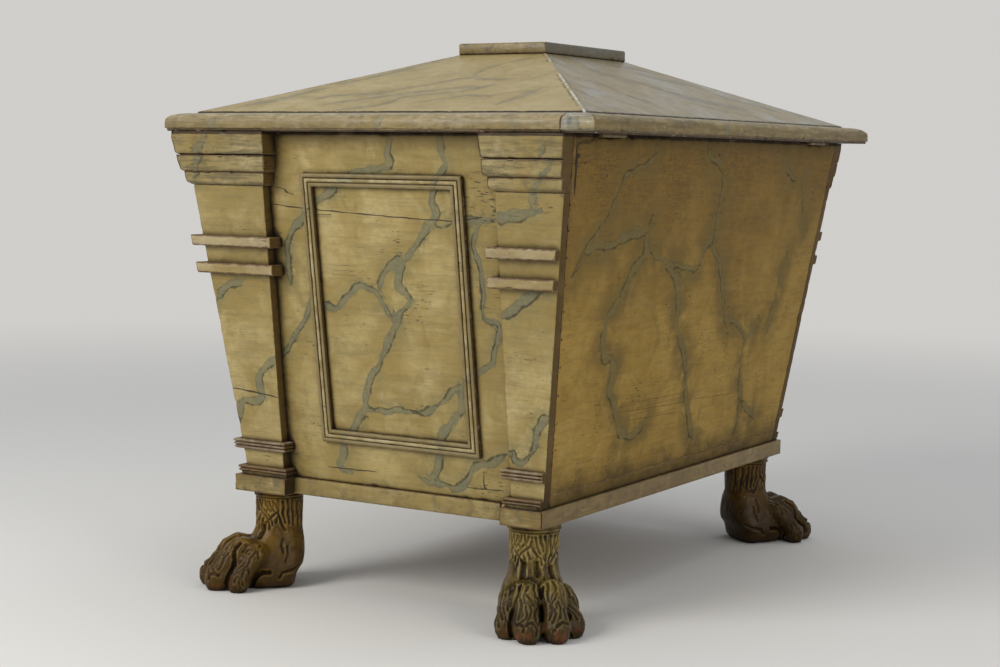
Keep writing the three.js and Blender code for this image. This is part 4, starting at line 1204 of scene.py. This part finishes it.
sideCarving = {
    "corner": "front_right", "window": (190, 480), "zoom": 12.06, "facing": 0.35,
    "hair": (
        (870, 240, 860, 320, 850, 400, 830, 480), (930, 260, 935, 340, 900, 420, 870, 490, 865, 540),
        (1000, 260, 1000, 330, 970, 380), (1060, 250, 1065, 320, 1060, 380),
        (1120, 260, 1130, 330, 1120, 400, 1150, 520), (1180, 250, 1195, 330, 1185, 400, 1205, 520),
        (1240, 250, 1235, 330, 1245, 400, 1250, 540), (1300, 260, 1295, 340, 1305, 420, 1310, 540),
        (1350, 260, 1345, 420, 1350, 560), (700, 780, 640, 860, 610, 940, 600, 1020),
        (760, 760, 700, 850, 670, 940, 650, 1020), (800, 850, 740, 920, 700, 1000, 690, 1080),
        (660, 920, 640, 1000, 660, 1080, 640, 1140, 620, 1200, 640, 1280),
        (720, 950, 700, 1050, 720, 1120), (600, 1180, 590, 1250, 610, 1310),
        (850, 780, 820, 860, 830, 940), (1180, 800, 1185, 900, 1160, 980),
        (1120, 720, 1110, 800, 1130, 870),
    ),
    "fold": (
        (1040, 400, 980, 450, 920, 510, 880, 560, 850, 610), (1050, 400, 1090, 480, 1120, 560, 1150, 600),
        (1330, 1020, 1250, 1080, 1180, 1100, 1120, 1120, 1085, 1180),
    ),
    "hollow": (),
    "deep": (
        (960, 1120, 880, 1120, 810, 1150, 765, 1220, 745, 1300),
    ),
}

pawCarving = {
    "voxel": 1.0,
    "smoothing": 9,
    "sampleStep": 0.6,
    "toeTurn": 38.0,
    "cuts": {
        "deep": {"depth": 5.0, "half": 3.8},
        "hollow": {"depth": 5.4, "half": 5.6},
        "fold": {"depth": 2.4, "half": 3.0},
        "hair": {"depth": 1.6, "half": 2.9},
    },
    "heights": (0, 8, 18, 28, 40, 56, 72, 88, 120),
    "sideways": (1.04, 1.07, 1.08, 1.05, 0.99, 0.94, 0.95, 1.0, 1.0),
    "heel": (0.88, 0.78, 0.77, 0.88, 0.90, 0.93, 0.98, 1.0, 1.0),
    "toes": (1.04, 1.04, 1.04, 1.04, 1.03, 1.01, 1.0, 1.0, 1.0),
    "outerToe": {"from": 20.0, "to": 30.0, "shorter": 0.09},
    "legHair": {"count": 21, "depth": 0.5, "low": 56.0, "high": 100.0},
    "fur": 0.6,
    "collarGroove": {"height": 101.4, "depth": 1.4, "half": 1.3},
    "toeRed": {"ahead": 60.0, "height": 22.0},
}

cornerTurns = {"back_right": (1, 1), "front_right": (1, -1), "back_left": (-1, 1), "front_left": (-1, -1)}


def pawPlacement(corner):
    # from the foot's own frame, in metres: ahead, aside and up from the middle of the leg
    signX, signY = cornerTurns[corner]
    turn = math.radians(pawCarving["toeTurn"])
    ahead = Vector((signX * math.cos(turn), signY * math.sin(turn), 0))
    aside = Vector((-signX * math.sin(turn), signY * math.cos(turn), 0))
    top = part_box(corner + "_paw_foot")[1].z - mm
    rim = [v.co for v in frame["nodes"][corner + "_paw_foot"].data.vertices if v.co.z > top]
    lowX, highX = min(p.x for p in rim), max(p.x for p in rim)
    lowY, highY = min(p.y for p in rim), max(p.y for p in rim)
    centre = Vector(((lowX + highX) / 2, (lowY + highY) / 2, 0))
    turned = Matrix((ahead, aside, (0, 0, 1))).transposed().to_4x4()
    return Matrix.Translation(centre) @ turned


def shapedBlank(corner):
    # the plain foot, with its heel, ankle and toes brought nearer to the carved one
    bm = takeCopy(corner + "_paw_foot")
    placement = pawPlacement(corner)
    inwards = placement.inverted()
    outer = pawCarving["outerToe"]
    for vertex in bm.verts:
        place = inwards @ vertex.co / mm
        along = pawCarving["toes" if place.x > 0 else "heel"]
        share = (abs(place.y) - outer["from"]) / (outer["to"] - outer["from"])
        shorter = outer["shorter"] * min(max(share, 0), 1) if place.x > 30 else 0
        place.x *= float(np.interp(place.z, pawCarving["heights"], along)) - shorter
        place.y *= float(np.interp(place.z, pawCarving["heights"], pawCarving["sideways"]))
        vertex.co = placement @ (place * mm)
    return bm


def finerMesh(bm, voxel):
    piece = asPiece(bm, "paw_blank", [materials["paw"]], sharp=180)
    remesh = piece.modifiers.new("Remesh", "REMESH")
    remesh.mode = "VOXEL"
    remesh.voxel_size = voxel * mm
    bpy.context.view_layer.update()
    graph = bpy.context.evaluated_depsgraph_get()
    fine = bpy.data.meshes.new_from_object(piece.evaluated_get(graph))
    bpy.data.objects.remove(piece)
    return fine


def neighbourMean(values, edges, counts):
    total = np.zeros_like(values)
    np.add.at(total, edges[:, 0], values[edges[:, 1]])
    np.add.at(total, edges[:, 1], values[edges[:, 0]])
    return total / counts


def meshNormals(mesh, places):
    mesh.vertices.foreach_set("co", places.ravel())
    mesh.update()
    return readAll(mesh.vertex_normals, "vector", 3, np.float32).astype(float)


def spreadHits(hits):
    spread = []
    for start, end in zip(hits, hits[1:]):
        count = max(1, int((end - start).length / pawCarving["sampleStep"]))
        spread += [tuple(start.lerp(end, index / count)) for index in range(count + 1)]
    return spread


def carvingSamples(view, both):
    # where the grooves seen in the photograph lie on the plain foot, in the foot's own frame
    bm = shapedBlank(view["corner"])
    tree = BVHTree.FromBMesh(bm)
    bm.free()
    placement = pawPlacement(view["corner"])
    inwards = placement.inverted()
    towards = placement.to_3x3().col[1 if both else 0]
    samples = {kind: [] for kind in pawCarving["cuts"]}
    for kind, found in samples.items():
        for course in view[kind]:
            hits = []
            for point in zip(course[::2], course[1::2]):
                pixel = [view["window"][i] + point[i] / view["zoom"] for i in range(2)]
                place, normal, _, _ = tree.ray_cast(Vector(shot["place"]), aimThrough(pixel).normalized())
                if place is not None and abs(normal.dot(towards)) > view["facing"]:
                    hits.append(inwards @ place / mm)
                elif hits:
                    found += spreadHits(hits)
                    hits = []
            found += spreadHits(hits)
        if both:
            found += [(p[0], -p[1], p[2]) for p in found]
    return samples


def rounded(depth, share):
    return depth * share * share * (3 - 2 * share)


def cutDepth(places, samples, cut):
    if not samples:
        return np.zeros(len(places))
    tree = treeOf(samples)
    reach = np.array([tree.find(place)[2] for place in places])
    return rounded(cut["depth"], np.clip(1 - reach / cut["half"], 0, 1))


def furDepth(places):
    # strands down the leg and over the toes, and the groove under the collar
    hair, ring = pawCarving["legHair"], pawCarving["collarGroove"]
    height = places[:, 2]
    angle = np.arctan2(places[:, 1], places[:, 0])
    sway = np.array([noise.noise((p[2] / 16, a * 1.3, 5.0)) for p, a in zip(places, angle)])
    wave = np.abs(np.sin(angle * hair["count"] / 2 + sway * 4.0))
    onLeg = np.clip((height - hair["low"]) / 9, 0, 1) * np.clip((hair["high"] - height) / 3, 0, 1)
    sideways = np.clip((np.abs(angle) - 0.75) / 0.5, 0, 1) * (np.hypot(places[:, 0], places[:, 1]) < 40)
    leg = hair["depth"] * (1 - np.clip(wave / 0.55, 0, 1)) * onLeg * (0.35 + 0.65 * sideways)
    groove = rounded(ring["depth"], np.clip(1 - np.abs(height - ring["height"]) / ring["half"], 0, 1))
    strands = np.array([noise.noise((x / 15 + z / 19, y / 2.3 + x / 13, z / 11)) for x, y, z in places])
    return leg, groove, pawCarving["fur"] * np.clip(strands + 0.25, 0, 1) * (height < hair["low"] + 6)


def carvedPaw():
    fine = finerMesh(shapedBlank("back_right"), pawCarving["voxel"])
    front, side = carvingSamples(frontCarving, False), carvingSamples(sideCarving, True)
    fine.transform(pawPlacement("back_right").inverted())
    places = readAll(fine.vertices, "co", 3) / mm
    edges = readAll(fine.edges, "vertices", 2, np.int64)
    counts = np.bincount(edges.ravel(), minlength=len(places)).reshape(-1, 1).astype(float)
    lowest = places[:, 2].min()
    for _ in range(pawCarving["smoothing"]):
        places = places * 0.5 + neighbourMean(places, edges, counts) * 0.5
    # each stage of the carving goes in along the surface that the last one left
    for stage in (("deep", "hollow"), ("fold", "hair")):
        normals = meshNormals(fine, places)
        depth = np.zeros(len(places))
        for kind in stage:
            depth = np.maximum(depth, cutDepth(places, front[kind] + side[kind], pawCarving["cuts"][kind]))
        if "hair" in stage:
            for more in furDepth(places):
                depth += more
        places = places - normals * depth[:, None]
        places = places * 0.7 + neighbourMean(places, edges, counts) * 0.3
    places[:, 2] = np.maximum(places[:, 2], lowest)

    normals = meshNormals(fine, places)
    bend = np.sum((neighbourMean(places, edges, counts) - places) * normals, axis=1)
    for _ in range(2):
        bend = bend * 0.5 + neighbourMean(bend[:, None], edges, counts)[:, 0] * 0.5
    red = pawCarving["toeRed"]
    tip = np.clip((places[:, 0] - red["ahead"]) / 10, 0, 1)
    tip *= np.clip((red["height"] - places[:, 2]) / 12, 0, 1)
    fine.vertices.foreach_set("co", (places * mm).ravel())
    for key, values in (("ridge", np.clip(-bend / 0.10, -1, 1)), ("tip", tip)):
        fine.attributes.new(key, "FLOAT", "POINT").data.foreach_set("value", values.astype(np.float32))
    fine.polygons.foreach_set("use_smooth", [True] * len(fine.polygons))
    fine.update()
    return fine


# the far feet take the darker bronze copies as painted shade
pawMaterial = {"back_right": "paw", "front_right": "shadedPaw", "front_left": "shadedPaw", "back_left": "deepShadedPaw"}


def layPaws():
    carved = carvedPaw()
    for corner in corners:
        placement = pawPlacement(corner)
        mesh = carved.copy()
        mesh.transform(placement)
        if placement.determinant() < 0:
            mesh.flip_normals()
        mesh.update()
        name = corner + "_paw_carved"
        mesh.name = name
        mesh.materials[0] = materials[pawMaterial[corner]]
        seat(placed(name, mesh), corner + "_paw_foot")
    bpy.data.meshes.remove(carved)


layPaws()
print("feet are carved")


# Studio

studio = {
    "floorHalf": 30.0,
    "floor": paint((700, 690, 665)),
    "backdrop": paint((630, 620, 600)),
    "ambient": paint((920, 950, 1000)),
    "ambientStrength": 0.50,
    "clearRadius": (0.9, 3.6),
    "lamps": (                       # name, place, size, power and tint
        ("key_softbox", (2.3, -0.9, 1.6), 1.5, 46, (1.0, 0.98, 0.94)),
        ("side_softbox", (0.9, 2.9, 1.0), 1.8, 25, (1.0, 0.97, 0.93)),
        ("top_softbox", (-0.3, 0.2, 2.8), 2.0, 12, (1.0, 1.0, 1.0)),
    ),
    "aim": (0, 0, 0.3),
}


def seenDirectly(g):
    # by the camera, in a reflection or through glass
    camera, glossy, through = (g.node("ShaderNodeLightPath", out=f"Is {ray} Ray")
                               for ray in ("Camera", "Glossy", "Transmission"))
    return camera.most(glossy).most(through)


def addFloor():
    # the floor keeps its shadow near the object, and meets the backdrop's tone further out
    bm = bmesh.new()
    bmesh.ops.create_grid(bm, x_segments=1, y_segments=1, size=studio["floorHalf"])
    g = Graph("floor_cloth")
    near = g.node("ShaderNodeBsdfPrincipled", {}, {"Base Color": studio["floor"], "Roughness": 0.9,
                                                   "Specular IOR Level": 0.1})
    far = g.node("ShaderNodeEmission", {}, {"Color": studio["backdrop"], "Strength": 1.0})
    reach = g.node("ShaderNodeVectorMath", {"operation": "LENGTH"}, (g.place,), out="Value")
    fade = g.step(reach, *studio["clearRadius"]) * seenDirectly(g)
    floor = asPiece(bm, "studio_floor", [g.shown(g.node("ShaderNodeMixShader", {}, (fade, near, far)))])
    floor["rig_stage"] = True


def addLamps():
    for name, place, size, power, tint in studio["lamps"]:
        light = bpy.data.lights.new(name, "AREA")
        light.shape = "DISK"
        light.size = size
        light.energy = power
        light.color = tint
        holder = placed(name, light)
        holder.location = place
        holder.rotation_euler = (Vector(studio["aim"]) - Vector(place)).to_track_quat("-Z", "Y").to_euler()


def addWorld():
    world = bpy.data.worlds.new("studio_world")
    bpy.context.scene.world = world
    g = Graph("studio_world", world=world)
    ambient, backdrop = (g.node("ShaderNodeBackground", {}, {"Color": studio[key], "Strength": strength})
                         for key, strength in (("ambient", studio["ambientStrength"]), ("backdrop", 1.0)))
    mixed = g.node("ShaderNodeMixShader", {}, (seenDirectly(g), ambient, backdrop))
    g.shown(mixed, "ShaderNodeOutputWorld")


addFloor()
addLamps()
addWorld()
bpy.context.scene.view_settings.view_transform = "Standard"
print("studio is lit")

triangles = sum(len(p.vertices) - 2 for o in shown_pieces() if o.type == "MESH" for p in o.data.polygons)
print("triangles shown:", triangles)
